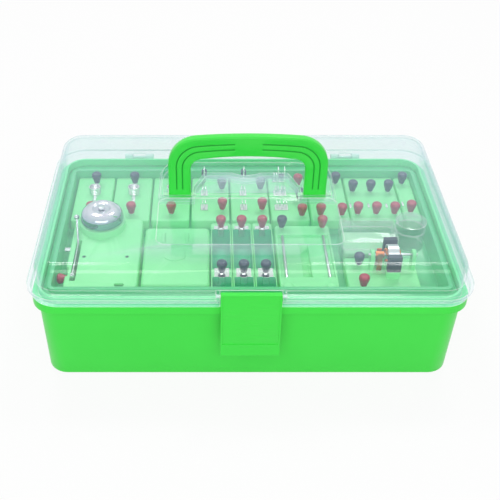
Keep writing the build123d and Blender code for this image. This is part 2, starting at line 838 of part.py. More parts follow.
# Tray: a flange on the tub's ledge, a raised bead, a deep pocket and low ribs between the boards
with BuildPart() as tray:
    with BuildSketch(Plane.XY.offset(tray_floor_z - tray_floor)):
        RectangleRounded(2 * (tray_inner_half_x + tray_wall), 2 * (tray_inner_half_y + tray_wall),
                         tray_corner + tray_wall)
    extrude(amount=tray_ledge_z - tray_floor_z + tray_floor)
    with BuildSketch(Plane.XY.offset(tray_ledge_z)):
        RectangleRounded(2 * tray_half_x, 2 * tray_half_y,
                         coaming_corner - coaming_wall - tray_flange_gap)
    extrude(amount=tray_flange)
    with BuildSketch(Plane.XY.offset(tray_ledge_z)):
        RectangleRounded(2 * (tray_inner_half_x + tray_bead), 2 * (tray_inner_half_y + tray_bead),
                         tray_corner + tray_bead)
    extrude(amount=tray_bead_z - tray_ledge_z)
    with BuildSketch(Plane.XY.offset(tray_floor_z)):
        RectangleRounded(2 * tray_inner_half_x, 2 * tray_inner_half_y, tray_corner)
    extrude(amount=tray_bead_z - tray_floor_z, mode=Mode.SUBTRACT)
    with BuildSketch(Plane.XY.offset(tray_floor_z)):
        for place in range(1, 8):
            rib_x = board_start_x + place * board_pitch - board_gap / 2
            with Locations((rib_x, (tray_row_y + tray_inner_half_y) / 2)):
                Rectangle(tray_rib, tray_inner_half_y - tray_row_y)
        with Locations((0, tray_row_y)):
            Rectangle(2 * tray_inner_half_x, tray_rib)
    extrude(amount=tray_rib_height)
tray.part.label = "tray"
export_step(tray.part, "parts/tray.step")
# Lamp boards, each with a black post, a lamp holder and a red post in one line
lamp_black_y = board_rear_y - lamp_black_run
lamp_socket_y = board_rear_y - lamp_socket_run
lamp_red_y = board_rear_y - lamp_red_run
contact_places = []
socket_places = []
for number in (1, 2, 3):
    left_x = board_start_x + (number - 1) * board_pitch
    post_x = left_x + lamp_offset
    black_posts[board_z].append((post_x, lamp_black_y))
    red_posts[board_z].append((post_x, lamp_red_y))
    socket_places.append((post_x, lamp_socket_y))
    contact_places.append((post_x, lamp_red_y, lamp_socket_y - socket_d / 2))
    contact_places.append((post_x, lamp_black_y, lamp_socket_y + socket_d / 2))
    with BuildPart() as lamp_board:
        add(hollow_board(left_x, board_front_y, board_width, board_length, board_z,
                         [(post_x, lamp_black_y), (post_x, lamp_red_y)]))
    lamp_board.part.label = f"lamp_board_{number}"
    export_step(lamp_board.part, f"parts/lamp_board_{number}.step")

    with BuildPart() as lamp_socket:
        with BuildSketch(Plane.XY.offset(board_z)):
            with Locations((post_x, lamp_socket_y)):
                Circle(socket_d / 2)
        extrude(amount=socket_height)
        with BuildSketch(Plane.XY.offset(board_z + socket_floor)):
            with Locations((post_x, lamp_socket_y)):
                Circle(socket_bore_d / 2)
        extrude(amount=socket_height - socket_floor, mode=Mode.SUBTRACT)
    lamp_socket.part.label = f"lamp_socket_{number}"
    export_step(lamp_socket.part, f"parts/lamp_socket_{number}.step")

# Knife switch boards, each with two posts beside its switch
switch_places = []
for number in (1, 2):
    left_x = board_start_x + (number + 2) * board_pitch
    posts = [(left_x + switch_post_offset, board_rear_y - switch_black_run),
             (left_x + switch_post_offset, board_rear_y - switch_red_run)]
    black_posts[board_z].append(posts[0])
    red_posts[board_z].append(posts[1])
    switch_places.append(left_x + switch_offset)
    with BuildPart() as switch_board:
        add(hollow_board(left_x, board_front_y, board_width, board_length, board_z, posts))
    switch_board.part.label = f"switch_board_{number}"
    export_step(switch_board.part, f"parts/switch_board_{number}.step")

# Changeover board, with three posts beside a switch that closes forward or back
changeover_x = board_start_x + 5 * board_pitch + changeover_offset
changeover_post_x = board_start_x + 5 * board_pitch + changeover_post_offset
changeover_red = [(changeover_post_x, board_rear_y - changeover_rear_run),
                  (changeover_post_x, board_rear_y - changeover_front_run)]
changeover_black = [(changeover_post_x, board_rear_y - changeover_middle_run)]
red_posts[board_z].extend(changeover_red)
black_posts[board_z].extend(changeover_black)
with BuildPart() as changeover_board:
    add(hollow_board(board_start_x + 5 * board_pitch, board_front_y, board_width, board_length,
                     board_z, changeover_red + changeover_black))
changeover_board.part.label = "changeover_board"
export_step(changeover_board.part, "parts/changeover_board.step")

# Terminal board with two lines of posts
terminal_left_x = board_start_x + 6 * board_pitch
terminal_black_y = board_rear_y - terminal_black_run
terminal_red_y = board_rear_y - terminal_red_run
terminal_black = [(terminal_left_x + offset_x, terminal_black_y) for offset_x in terminal_offsets]
terminal_red = [(terminal_left_x + offset_x, terminal_red_y) for offset_x in terminal_offsets]
black_posts[board_z].extend(terminal_black)
red_posts[board_z].extend(terminal_red)
with BuildPart() as terminal_board:
    add(hollow_board(terminal_left_x, board_front_y, board_width, board_length, board_z,
                     terminal_black + terminal_red))
terminal_board.part.label = "terminal_board"
export_step(terminal_board.part, "parts/terminal_board.step")

# Resistor board with three lines of posts, and a narrow one with a single line beside it
resistor_left_x = board_start_x + 7 * board_pitch
resistor_black_y = board_rear_y - resistor_black_run
resistor_red_y = board_rear_y - resistor_red_run
resistor_black = [(resistor_left_x + offset_x, resistor_black_y) for offset_x in resistor_offsets]
resistor_red = [(resistor_left_x + offset_x, resistor_red_y) for offset_x in resistor_offsets]
black_posts[board_z].extend(resistor_black)
red_posts[board_z].extend(resistor_red)
with BuildPart() as resistor_board:
    add(hollow_board(resistor_left_x, board_front_y, resistor_board_width, board_length, board_z,
                     resistor_black + resistor_red))
resistor_board.part.label = "resistor_board"
export_step(resistor_board.part, "parts/resistor_board.step")

end_left_x = resistor_left_x + resistor_board_width + board_gap
end_black = [(end_left_x + end_offset, terminal_black_y)]
end_red = [(end_left_x + end_offset, board_rear_y - end_red_run)]
black_posts[board_z].extend(end_black)
red_posts[board_z].extend(end_red)
with BuildPart() as end_board:
    add(hollow_board(end_left_x, board_front_y, end_board_width, board_length, board_z,
                     end_black + end_red))
end_board.part.label = "end_board"
export_step(end_board.part, "parts/end_board.step")

# Contact strips: from each post of a lamp board to its holder, and a tab behind each resistor's post
with BuildPart() as contact_strips:
    with BuildSketch(Plane.XY.offset(board_z)):
        for strip_x, post_y, holder_y in contact_places:
            toward = 1 if holder_y > post_y else -1
            start_y = post_y + toward * (insert_d / 2 + strip_gap)
            with Locations((strip_x, (start_y + holder_y) / 2)):
                Rectangle(strip_width, abs(holder_y - start_y) - strip_gap)
        for tab_x, tab_y in resistor_red + end_red:
            with Locations((tab_x - tab_side, tab_y + tab_rear + tab_length / 2)):
                Rectangle(strip_width / 2, tab_length)
    extrude(amount=strip_sheet)
contact_strips.part.label = "contact_strips"
export_step(contact_strips.part, "parts/contact_strips.step")
# Knife switches: spring clips in pairs of leaves, a pin through each pivot clip and a standing blade
leaf_offset = blade_thickness / 2 + clip_gap + clip_leaf / 2
changeover_blades = [changeover_x - twin_blade_spacing / 2, changeover_x + twin_blade_spacing / 2]
blade_columns = switch_places + changeover_blades
clip_places = [(x, y) for x in blade_columns for y in (switch_pivot_y, jaw_front_y)]
clip_places += [(x, jaw_rear_y) for x in changeover_blades]
pivot_axis = Axis((0, switch_pivot_y, switch_pivot_z), (1, 0, 0))

with BuildPart() as switch_clips:
    with BuildSketch(Plane.XY.offset(board_z)):
        with Locations(*clip_places):
            Rectangle(clip_base_width, clip_base_length)
    extrude(amount=clip_base)
    with BuildSketch(Plane.XY.offset(board_z + clip_base)):
        for clip_x, clip_y in clip_places:
            with Locations((clip_x - leaf_offset, clip_y), (clip_x + leaf_offset, clip_y)):
                Rectangle(clip_leaf, clip_length)
    extrude(amount=clip_height - clip_base)
    with BuildSketch(Plane.YZ.offset(switch_places[0] - clip_base_width)):
        with Locations((switch_pivot_y, switch_pivot_z)):
            RegularPolygon(switch_pin_d / 2 + pin_clearance, clip_hole_sides, major_radius=False)
    extrude(amount=changeover_x - switch_places[0] + 2 * clip_base_width, mode=Mode.SUBTRACT)
switch_clips.part.label = "switch_clips"
export_step(switch_clips.part, "parts/switch_clips.step")

with BuildPart() as switch_pins:
    for pin_x in blade_columns:
        with BuildSketch(Plane.YZ.offset(pin_x - leaf_offset - clip_leaf)):
            with Locations((switch_pivot_y, switch_pivot_z)):
                Circle(switch_pin_d / 2)
        extrude(amount=2 * (leaf_offset + clip_leaf))
switch_pins.part.label = "switch_pins"
export_step(switch_pins.part, "parts/switch_pins.step")


def closed_blade(middle_x):
    """One blade lying forward in its jaws, with an eye round the pivot pin."""
    with BuildPart() as blade:
        with BuildSketch(Plane.YZ.offset(middle_x - blade_thickness / 2)):
            with Locations((switch_pivot_y, switch_pivot_z)):
                Circle(blade_width / 2)
            with Locations((switch_pivot_y - (switch_reach + blade_overrun) / 2, switch_pivot_z)):
                Rectangle(switch_reach + blade_overrun, blade_width)
            with Locations((switch_pivot_y, switch_pivot_z)):
                Circle(switch_pin_d / 2 + pin_clearance, mode=Mode.SUBTRACT)
        extrude(amount=blade_thickness)
    return blade.part


def closed_knob(middle_x):
    """A grip that stands on the upper edge of a single blade."""
    with BuildPart() as grip:
        with BuildSketch(Plane.XY.offset(switch_pivot_z + blade_width / 2)):
            with Locations((middle_x, switch_pivot_y - knob_reach)):
                Rectangle(blade_width, knob_d)
        extrude(amount=knob_length / 2)
        with BuildSketch(Plane.XY.offset(switch_pivot_z + (blade_width + knob_length) / 2)):
            with Locations((middle_x, switch_pivot_y - knob_reach)):
                RegularPolygon(knob_d / 2, cap_sides)
        extrude(amount=knob_length / 2, taper=-5)
    return grip.part


def closed_bar(middle_x):
    """A grip between twin blades, on their middle line, so that it clears the board thrown either way."""
    width = twin_blade_spacing - blade_thickness
    with BuildPart() as grip:
        with BuildSketch(Plane.YZ.offset(middle_x - width / 2)):
            with Locations((switch_pivot_y - knob_reach, switch_pivot_z)):
                RegularPolygon(knob_d / 2, cap_sides)
        extrude(amount=width)
    return grip.part


# Blades and their grips, one switch at a time, swung up from the jaws to where they rest
switch_sets = [([x], closed_knob(x)) for x in switch_places]
switch_sets.append((changeover_blades, closed_bar(changeover_x)))
for number, (columns, grip) in enumerate(switch_sets, start=1):
    with BuildPart() as switch_blade:
        for blade_x in columns:
            add(closed_blade(blade_x).rotate(pivot_axis, -blade_open_angle))
    switch_blade.part.label = f"switch_blade_{number}"
    export_step(switch_blade.part, f"parts/switch_blade_{number}.step")

    with BuildPart() as switch_knob:
        add(grip.rotate(pivot_axis, -blade_open_angle))
    switch_knob.part.label = f"switch_knob_{number}"
    export_step(switch_knob.part, f"parts/switch_knob_{number}.step")
# Battery holders: an open bay between two ledges, with a pocket in front
battery_places = [battery_first_x + step * battery_pitch for step in range(3)]
battery_bay_rear_y = battery_rear_y - battery_rear_ledge
bay_front_y = battery_bay_rear_y - battery_bay_length
pocket_rear_y = bay_front_y - battery_ledge
battery_black_y = bay_front_y - battery_ledge / 2
battery_inner = battery_width - 2 * battery_wall
for number, holder_x in enumerate(battery_places, start=1):
    black_posts[front_z].append((holder_x, battery_black_y))
    red_posts[front_z].append((holder_x, front_post_y))
    with BuildPart() as battery_holder:
        add(cut_corner_block(holder_x - battery_width / 2, front_row_y, battery_width, battery_length,
                             tray_floor_z, front_z))
        with BuildSketch(Plane.XY.offset(tray_floor_z + battery_wall)):
            with Locations((holder_x, (battery_bay_rear_y + bay_front_y) / 2)):
                Rectangle(battery_inner, battery_bay_length)
        extrude(amount=front_z - tray_floor_z, mode=Mode.SUBTRACT)
        with BuildSketch(Plane.XY.offset(front_z - battery_pocket_depth)):
            with Locations((holder_x, (pocket_rear_y + front_row_y + battery_wall) / 2)):
                Rectangle(battery_inner, pocket_rear_y - front_row_y - battery_wall)
        extrude(amount=battery_pocket_depth, mode=Mode.SUBTRACT)
        with BuildSketch(Plane.XY.offset(tray_floor_z)):
            with Locations((holder_x, (battery_bay_rear_y + battery_rear_y) / 2)):
                Rectangle(battery_inner, battery_rear_y - battery_bay_rear_y - 2 * battery_wall)
            with Locations((holder_x, battery_black_y)):
                Rectangle(battery_inner, battery_ledge - 2 * battery_wall)
        extrude(amount=front_z - board_top - tray_floor_z, mode=Mode.SUBTRACT)
        with BuildSketch(Plane.XY.offset(front_z)):
            with Locations((holder_x, battery_black_y), (holder_x, front_post_y)):
                RegularPolygon(insert_d / 2, 6)
        extrude(amount=-insert_below, mode=Mode.SUBTRACT)
    battery_holder.part.label = f"battery_holder_{number}"
    export_step(battery_holder.part, f"parts/battery_holder_{number}.step")

# Battery contacts: sheet metal plates round the posts, with tabs bent down into the bay and the pocket
plate_hole = insert_d / 2 + strip_gap
battery_plates = ((front_post_y, battery_bay_rear_y, front_post_y + contact_plate_run),
                  (battery_black_y, pocket_rear_y, bay_front_y))
battery_bends = ((battery_bay_rear_y, -1), (bay_front_y, 1), (pocket_rear_y, -1))
with BuildPart() as battery_contacts:
    with BuildSketch(Plane.XY.offset(front_z)):
        for holder_x in battery_places:
            for post_y, near_y, far_y in battery_plates:
                with Locations((holder_x, (near_y + far_y) / 2)):
                    Rectangle(contact_plate_width, far_y - near_y)
                with Locations((holder_x, post_y)):
                    RegularPolygon(plate_hole, 6, mode=Mode.SUBTRACT)
    extrude(amount=contact_sheet)
    for holder_x in battery_places:
        with BuildSketch(Plane.YZ.offset(holder_x - contact_tab_width / 2)):
            for corner_y, toward in battery_bends:
                near_y = corner_y + toward * strip_gap
                low_z = front_z - contact_drop
                with BuildLine():
                    Polyline(
                        (corner_y, front_z),
                        (near_y, front_z),
                        (near_y + toward * contact_run, low_z),
                        (near_y + toward * (contact_run + contact_sheet), low_z),
                        (near_y + toward * contact_sheet, front_z + contact_sheet),
                        (corner_y, front_z + contact_sheet),
                        close=True,
                    )
                make_face()
        extrude(amount=contact_tab_width)
battery_contacts.part.label = "battery_contacts"
export_step(battery_contacts.part, "parts/battery_contacts.step")

# Rail board: two metal rods in a shallow recess, a deep slot between them and two round pads
rail_rod_x = (rail_left_x + rail_inset, rail_right_x - rail_inset)
rail_posts = [(x, front_post_y) for x in rail_rod_x]
black_posts[front_z].append(rail_posts[0])
red_posts[front_z].append(rail_posts[1])
rail_slot_x = (rail_left_x + rail_right_x) / 2
rail_recess_front_y = front_row_y + rail_recess_front
rail_recess_rear_y = rail_rear_y - rail_recess_back
rail_slot_rear_y = rail_rear_y - rail_slot_back
rail_pad_y = front_row_y + rail_pad_front
recess_y = (rail_recess_front_y + rail_recess_rear_y) / 2
recess_length = rail_recess_rear_y - rail_recess_front_y
slot_length = rail_slot_rear_y - rail_recess_front_y
with BuildPart() as rail_board:
    add(cut_corner_block(rail_left_x, front_row_y, rail_width, rail_length, tray_floor_z, front_z))
    with BuildSketch(Plane.XY.offset(front_z - rail_recess)):
        with Locations((rail_slot_x, recess_y)):
            Rectangle(rail_width - 2 * board_wall, recess_length)
    extrude(amount=rail_recess, mode=Mode.SUBTRACT)
    with BuildSketch(Plane.XY.offset(tray_floor_z)):
        add(cell_grid(rail_left_x + board_wall, front_row_y + board_wall,
                      rail_slot_x - rail_slot_width / 2 - rail_left_x - 2 * board_wall,
                      rail_rear_y - front_row_y - 2 * board_wall))
        add(cell_grid(rail_slot_x + rail_slot_width / 2 + board_wall, front_row_y + board_wall,
                      rail_right_x - rail_slot_x - rail_slot_width / 2 - 2 * board_wall,
                      rail_rear_y - front_row_y - 2 * board_wall))
    extrude(amount=front_z - rail_recess - board_top - tray_floor_z, mode=Mode.SUBTRACT)
    with BuildSketch(Plane.XY.offset(front_z - rail_slot_depth)):
        with Locations((rail_slot_x, (rail_recess_front_y + rail_slot_rear_y) / 2)):
            Rectangle(rail_slot_width, slot_length)
    extrude(amount=rail_slot_depth, mode=Mode.SUBTRACT)
    with BuildSketch(Plane.XY.offset(front_z)):
        with Locations((rail_rod_x[0], rail_pad_y), (rail_rod_x[1], rail_pad_y)):
            RegularPolygon(rail_pad_d / 2, rail_pad_sides)
    extrude(amount=emboss)
    with BuildSketch(Plane.XY.offset(front_z)):
        with Locations(*rail_posts):
            RegularPolygon(insert_d / 2, 6)
    extrude(amount=-insert_below, mode=Mode.SUBTRACT)
rail_board.part.label = "rail_board"
export_step(rail_board.part, "parts/rail_board.step")

with BuildPart() as rails:
    with BuildSketch(Plane.XZ.offset(-rail_recess_rear_y)):
        with Locations(*[(x, front_z - rail_recess + rail_d / 2) for x in rail_rod_x]):
            Circle(rail_d / 2)
    extrude(amount=recess_length)
rails.part.label = "rails"
export_step(rails.part, "parts/rails.step")
# Bell: a cover with a round boss and pillar for the gong, and a trough for the clapper's armature
gong_x = bell_left_x + gong_side
gong_y = bell_rear_y - gong_back
trough_x = bell_left_x + trough_left + trough_width / 2
trough_z = tray_floor_z + trough_height
trough_front_y = front_row_y + trough_front
trough_rear_y = trough_front_y + trough_length
clapper_pivot_y = trough_front_y + clapper_pivot_run
armature_low_z = tray_floor_z + armature_low
armature_top_z = tray_floor_z + armature_high
clapper_ball_z = tray_floor_z + clapper_ball_height
bell_core_z = tray_floor_z + bell_core_height
contact_screw_y = front_row_y + contact_screw_run
contact_screw_z = tray_floor_z + contact_screw_height
side_post_y = front_row_y + side_post_run
side_post_z = tray_floor_z + side_post_height
boss_top_z = bell_z + boss_height
gong_rim_z = boss_top_z + gong_rim_gap
gong_top_z = gong_rim_z + gong_height
pillar_top_z = gong_top_z - gong_wall
cells_left_x = trough_x + trough_width / 2 + trough_wall
cells_width = bell_right_x - board_wall - cells_left_x
cells_length = bell_rear_y - front_row_y - 2 * board_wall
core_y = front_row_y + board_wall + cells_length / 2
side_plane = Plane(origin=(bell_left_x + side_post_recess, side_post_y, side_post_z),
                   x_dir=(0, 1, 0), z_dir=(-1, 0, 0))
with BuildPart() as bell_body:
    with BuildSketch(Plane.XY.offset(tray_floor_z)):
        with Locations(((bell_left_x + bell_right_x) / 2, (front_row_y + bell_rear_y) / 2)):
            RectangleRounded(bell_right_x - bell_left_x, bell_rear_y - front_row_y, bell_corner)
    extrude(amount=bell_z - tray_floor_z)
    chamfer(bell_body.faces().sort_by(Axis.Z)[-1].edges(), board_edge)
    with BuildSketch(Plane.XY.offset(bell_z - boss_skirt)):
        with Locations((gong_x, gong_y)):
            Circle(boss_d / 2)
    extrude(amount=boss_height + boss_skirt)
    with BuildSketch(Plane.XY.offset(boss_top_z)):
        with Locations((gong_x, gong_y)):
            Circle(pillar_d / 2)
    extrude(amount=pillar_top_z - boss_top_z)
    with BuildSketch(Plane.XY.offset(pillar_top_z - gong_screw_length)):
        with Locations((gong_x, gong_y)):
            Circle(gong_screw_d / 2)
    extrude(amount=gong_screw_length, mode=Mode.SUBTRACT)
    with BuildSketch(Plane.XY.offset(tray_floor_z)):
        add(cell_grid(cells_left_x, front_row_y + board_wall, cells_width, cells_length))
    extrude(amount=bell_z - board_top - tray_floor_z, mode=Mode.SUBTRACT)
    with BuildSketch(Plane.XY.offset(trough_z)):
        with Locations((trough_x, (trough_front_y + trough_rear_y) / 2)):
            Rectangle(trough_width, trough_rear_y - trough_front_y)
    extrude(amount=bell_z - trough_z, mode=Mode.SUBTRACT)
    with BuildSketch(Plane.XY.offset(trough_z - clapper_pin_seat)):
        with Locations((trough_x, clapper_pivot_y)):
            Circle(clapper_pin_d / 2)
    extrude(amount=clapper_pin_seat, mode=Mode.SUBTRACT)
    with BuildSketch(Plane.YZ.offset(trough_x)):
        with Locations((core_y, bell_core_z)):
            Circle(bell_core_d / 2)
    extrude(amount=trough_width / 2 + trough_wall, mode=Mode.SUBTRACT)
    with BuildSketch(Plane.XY.offset(bell_z)):
        with Locations((bell_right_x - cover_hole_side, front_row_y + cover_hole_run)):
            SlotOverall(cover_hole_length, cover_hole_width)
    extrude(amount=-board_top, mode=Mode.SUBTRACT)
    with BuildSketch(Plane.YZ.offset(bell_left_x)):
        with Locations((side_post_y, bell_z - cap_d / 2)):
            Rectangle(cap_d + 2 * side_post_room, 2 * cap_d)
    extrude(amount=side_post_recess, mode=Mode.SUBTRACT)
    with BuildSketch(side_plane):
        RegularPolygon(insert_d / 2, 6)
    extrude(amount=-side_insert_seat, mode=Mode.SUBTRACT)
bell_body.part.label = "bell_body"
export_step(bell_body.part, "parts/bell_body.step")

# Gong: a thin dome turned about its screw
gong_plane = Plane(origin=(gong_x, gong_y, 0), x_dir=(1, 0, 0), z_dir=(0, -1, 0))
shoulder_z = gong_rim_z + gong_rim
with BuildPart() as bell_gong:
    with BuildSketch(gong_plane):
        with BuildLine():
            outer = gong_d / 2
            inner = gong_d / 2 - gong_wall
            Polyline((inner, shoulder_z), (inner, gong_rim_z), (outer, gong_rim_z),
                     (outer, shoulder_z))
            TangentArc((outer, shoulder_z), (gong_flat, gong_top_z), tangent=(0, 1))
            Polyline((gong_flat, gong_top_z), (gong_screw_d / 2, gong_top_z),
                     (gong_screw_d / 2, gong_top_z - gong_wall), (gong_flat, gong_top_z - gong_wall))
            TangentArc((inner, shoulder_z), (gong_flat, gong_top_z - gong_wall), tangent=(0, 1))
        make_face()
    revolve(axis=Axis((gong_x, gong_y, 0), (0, 0, 1)))
bell_gong.part.label = "bell_gong"
export_step(bell_gong.part, "parts/bell_gong.step")

# Bell screws: the gong's, and the contact screw at the side
with BuildPart() as bell_screws:
    with BuildSketch(Plane.XY.offset(gong_top_z)):
        with Locations((gong_x, gong_y)):
            Circle(gong_screw_head_d / 2)
    extrude(amount=gong_screw_head, taper=15)
    with BuildSketch(Plane.XY.offset(gong_top_z)):
        with Locations((gong_x, gong_y)):
            Circle(gong_screw_d / 2)
    extrude(amount=-gong_screw_length)
    with BuildSketch(Plane.YZ.offset(bell_left_x)):
        with Locations((contact_screw_y, contact_screw_z)):
            RegularPolygon(contact_screw_d / 2, 6)
    extrude(amount=-contact_screw_length)
bell_screws.part.label = "bell_screws"
export_step(bell_screws.part, "parts/bell_screws.step")

# Clapper: an armature strip on a pin, with an arm that carries the ball to the gong's left side
ball_x = gong_x - gong_d / 2 - clapper_gap - clapper_ball_d / 2
arm_start = Vector(trough_x, clapper_pivot_y + armature_length - clapper_arm_d,
                   armature_top_z - clapper_arm_d)
arm_end = Vector(ball_x, gong_y, clapper_ball_z)
with BuildPart() as bell_clapper:
    with BuildSketch(Plane.XY.offset(armature_low_z)):
        with Locations((trough_x, clapper_pivot_y)):
            Circle(clapper_barrel_d / 2)
        with Locations((trough_x, clapper_pivot_y + armature_length / 2)):
            Rectangle(armature_thickness, armature_length)
    extrude(amount=armature_top_z - armature_low_z)
    with BuildSketch(Plane(origin=arm_start, z_dir=arm_end - arm_start)):
        RegularPolygon(clapper_arm_d / 2, 6)
    extrude(amount=(arm_end - arm_start).length)
    with BuildSketch(Plane(origin=arm_end, x_dir=(1, 0, 0), z_dir=(0, -1, 0))):
        RegularPolygon(clapper_ball_d / 2, clapper_ball_sides, rotation=180 / clapper_ball_sides)
        Rectangle(clapper_ball_d, clapper_ball_d, align=(Align.MAX, Align.CENTER), mode=Mode.SUBTRACT)
    revolve(axis=Axis(arm_end, (0, 0, 1)))
    with BuildSketch(Plane.XY.offset(armature_low_z)):
        with Locations((trough_x, clapper_pivot_y)):
            Circle(clapper_pin_d / 2 + pin_clearance)
    extrude(amount=armature_top_z - armature_low_z, mode=Mode.SUBTRACT)
bell_clapper.part.label = "bell_clapper"
export_step(bell_clapper.part, "parts/bell_clapper.step")

with BuildPart() as bell_pin:
    with BuildSketch(Plane.XY.offset(trough_z - clapper_pin_seat)):
        with Locations((trough_x, clapper_pivot_y)):
            Circle(clapper_pin_d / 2)
    extrude(amount=armature_top_z + clapper_pin_d / 2 - trough_z + clapper_pin_seat)
bell_pin.part.label = "bell_pin"
export_step(bell_pin.part, "parts/bell_pin.step")

# Bell magnet: a steel core through the trough's wall, with its coil on the hidden side
pole_x = trough_x + trough_width / 2
with BuildPart() as bell_core:
    with BuildSketch(Plane.YZ.offset(pole_x)):
        with Locations((core_y, bell_core_z)):
            Circle(bell_core_d / 2)
    extrude(amount=bell_core_length)
bell_core.part.label = "bell_core"
export_step(bell_core.part, "parts/bell_core.step")

with BuildPart() as bell_coil:
    with BuildSketch(Plane.YZ.offset(cells_left_x + coil_clearance)):
        with Locations((core_y, bell_core_z)):
            Circle(bell_coil_d / 2)
        with Locations((core_y, bell_core_z)):
            Circle(bell_core_d / 2 + coil_clearance, mode=Mode.SUBTRACT)
    extrude(amount=bell_coil_length)
bell_coil.part.label = "bell_coil"
export_step(bell_coil.part, "parts/bell_coil.step")
# Parts box: an open box with a step in front, and a lid with two raised bars and a raised tongue
parts_step_y = front_row_y + parts_step
tongue_y = (parts_rear_y - tongue_back[0], parts_rear_y - tongue_back[1])
emboss_bar_y = (parts_rear_y - emboss_bar_back[0], parts_rear_y - emboss_bar_back[1])
parts_joint_z = tray_floor_z + parts_joint_height
parts_x = (parts_left_x + parts_right_x) / 2
tongue_x = parts_x - tongue_offset
emboss_bar_x = (tongue_x - emboss_bar_side, tongue_x + emboss_bar_side)
with BuildPart() as parts_box:
    with BuildSketch(Plane.XY.offset(tray_floor_z)):
        with Locations((parts_x, (front_row_y + parts_rear_y) / 2)):
            RectangleRounded(parts_width, parts_rear_y - front_row_y, parts_corner)
    extrude(amount=parts_joint_z - tray_floor_z)
    with BuildSketch(Plane.XY.offset(tray_floor_z + parts_wall)):
        with Locations((parts_x, (parts_step_y + parts_rear_y) / 2)):
            RectangleRounded(parts_width - 2 * parts_wall,
                             parts_rear_y - parts_step_y - 2 * parts_wall,
                             parts_corner - parts_wall)
    extrude(amount=parts_joint_z - tray_floor_z, mode=Mode.SUBTRACT)
parts_box.part.label = "parts_box"
export_step(parts_box.part, "parts/parts_box.step")

with BuildPart() as parts_box_lid:
    with BuildSketch(Plane.XY.offset(parts_joint_z)):
        with Locations((parts_x, (parts_step_y + parts_rear_y) / 2)):
            RectangleRounded(parts_width, parts_rear_y - parts_step_y, parts_corner)
    extrude(amount=front_z - parts_joint_z)
    fillet(parts_box_lid.faces().sort_by(Axis.Z)[-1].edges().sort_by(Axis.Y)[0], parts_round)
    with BuildSketch(Plane.XY.offset(parts_joint_z)):
        with Locations((parts_x, (parts_step_y + parts_rear_y) / 2)):
            RectangleRounded(parts_width - 2 * parts_wall,
                             parts_rear_y - parts_step_y - 2 * parts_wall,
                             parts_corner - parts_wall)
    extrude(amount=front_z - parts_wall - parts_joint_z, mode=Mode.SUBTRACT)
    with BuildSketch(Plane.XY.offset(front_z)):
        for bar_x in emboss_bar_x:
            with Locations((bar_x, sum(emboss_bar_y) / 2)):
                Rectangle(emboss_bar_width, emboss_bar_y[1] - emboss_bar_y[0])
        with BuildLine():
            Polyline((tongue_x - tongue_width / 2, tongue_y[0] + tongue_width / 4),
                     (tongue_x - tongue_width / 2, tongue_y[1]),
                     (tongue_x + tongue_width / 2, tongue_y[1]),
                     (tongue_x + tongue_width / 2, tongue_y[0] + tongue_width / 4))
            ThreePointArc((tongue_x + tongue_width / 2, tongue_y[0] + tongue_width / 4),
                          (tongue_x, tongue_y[0]),
                          (tongue_x - tongue_width / 2, tongue_y[0] + tongue_width / 4))
        make_face()
    extrude(amount=emboss)
parts_box_lid.part.label = "parts_box_lid"
export_step(parts_box_lid.part, "parts/parts_box_lid.step")

# Clear case: a box and a lid with the same walls, and a moulded insert inside
clear_x = rail_right_x + clear_gap + clear_width / 2
clear_y = motor_rear_y + clear_front_gap + clear_length / 2
clear_joint_z = tray_floor_z + clear_joint_height
clear_top_z = tray_floor_z + clear_height
with BuildPart() as clear_case:
    with BuildSketch(Plane.XY.offset(tray_floor_z)):
        with Locations((clear_x, clear_y)):
            RectangleRounded(clear_width, clear_length, clear_corner)
    extrude(amount=clear_joint_z - tray_floor_z)
    with BuildSketch(Plane.XY.offset(tray_floor_z + clear_wall)):
        with Locations((clear_x, clear_y)):
            RectangleRounded(clear_width - 2 * clear_wall, clear_length - 2 * clear_wall,
                             clear_corner - clear_wall)
    extrude(amount=clear_joint_z - tray_floor_z, mode=Mode.SUBTRACT)
clear_case.part.label = "clear_case"
export_step(clear_case.part, "parts/clear_case.step")

with BuildPart() as clear_case_lid:
    with BuildSketch(Plane.XY.offset(clear_joint_z)):
        with Locations((clear_x, clear_y)):
            RectangleRounded(clear_width, clear_length, clear_corner)
    extrude(amount=clear_top_z - clear_joint_z)
    with BuildSketch(Plane.XY.offset(clear_joint_z)):
        with Locations((clear_x, clear_y)):
            RectangleRounded(clear_width - 2 * clear_wall, clear_length - 2 * clear_wall,
                             clear_corner - clear_wall)
    extrude(amount=clear_top_z - clear_wall - clear_joint_z, mode=Mode.SUBTRACT)
clear_case_lid.part.label = "clear_case_lid"
export_step(clear_case_lid.part, "parts/clear_case_lid.step")

with BuildPart() as case_insert:
    with BuildSketch(Plane.XY.offset(tray_floor_z + clear_wall)):
        with Locations((clear_x, clear_y)):
            RectangleRounded(clear_width - 2 * (clear_wall + insert_block_gap),
                             clear_length - 2 * (clear_wall + insert_block_gap),
                             clear_corner)
    extrude(amount=insert_block_height)
    chamfer(case_insert.faces().sort_by(Axis.Z)[-1].edges(), board_edge)
case_insert.part.label = "case_insert"
export_step(case_insert.part, "parts/case_insert.step")

# Clear jar and its cap
jar_x = tray_inner_half_x - jar_side_gap - jar_d / 2
jar_y = motor_rear_y + jar_front_gap + jar_d / 2
jar_joint_z = tray_floor_z + jar_joint_height
jar_top_z = tray_floor_z + jar_height
with BuildPart() as jar:
    with BuildSketch(Plane.XY.offset(tray_floor_z)):
        with Locations((jar_x, jar_y)):
            Circle(jar_d / 2)
    extrude(amount=jar_joint_z - tray_floor_z)
    with BuildSketch(Plane.XY.offset(tray_floor_z + jar_wall)):
        with Locations((jar_x, jar_y)):
            Circle(jar_d / 2 - jar_wall)
    extrude(amount=jar_joint_z - tray_floor_z, mode=Mode.SUBTRACT)
jar.part.label = "jar"
export_step(jar.part, "parts/jar.step")

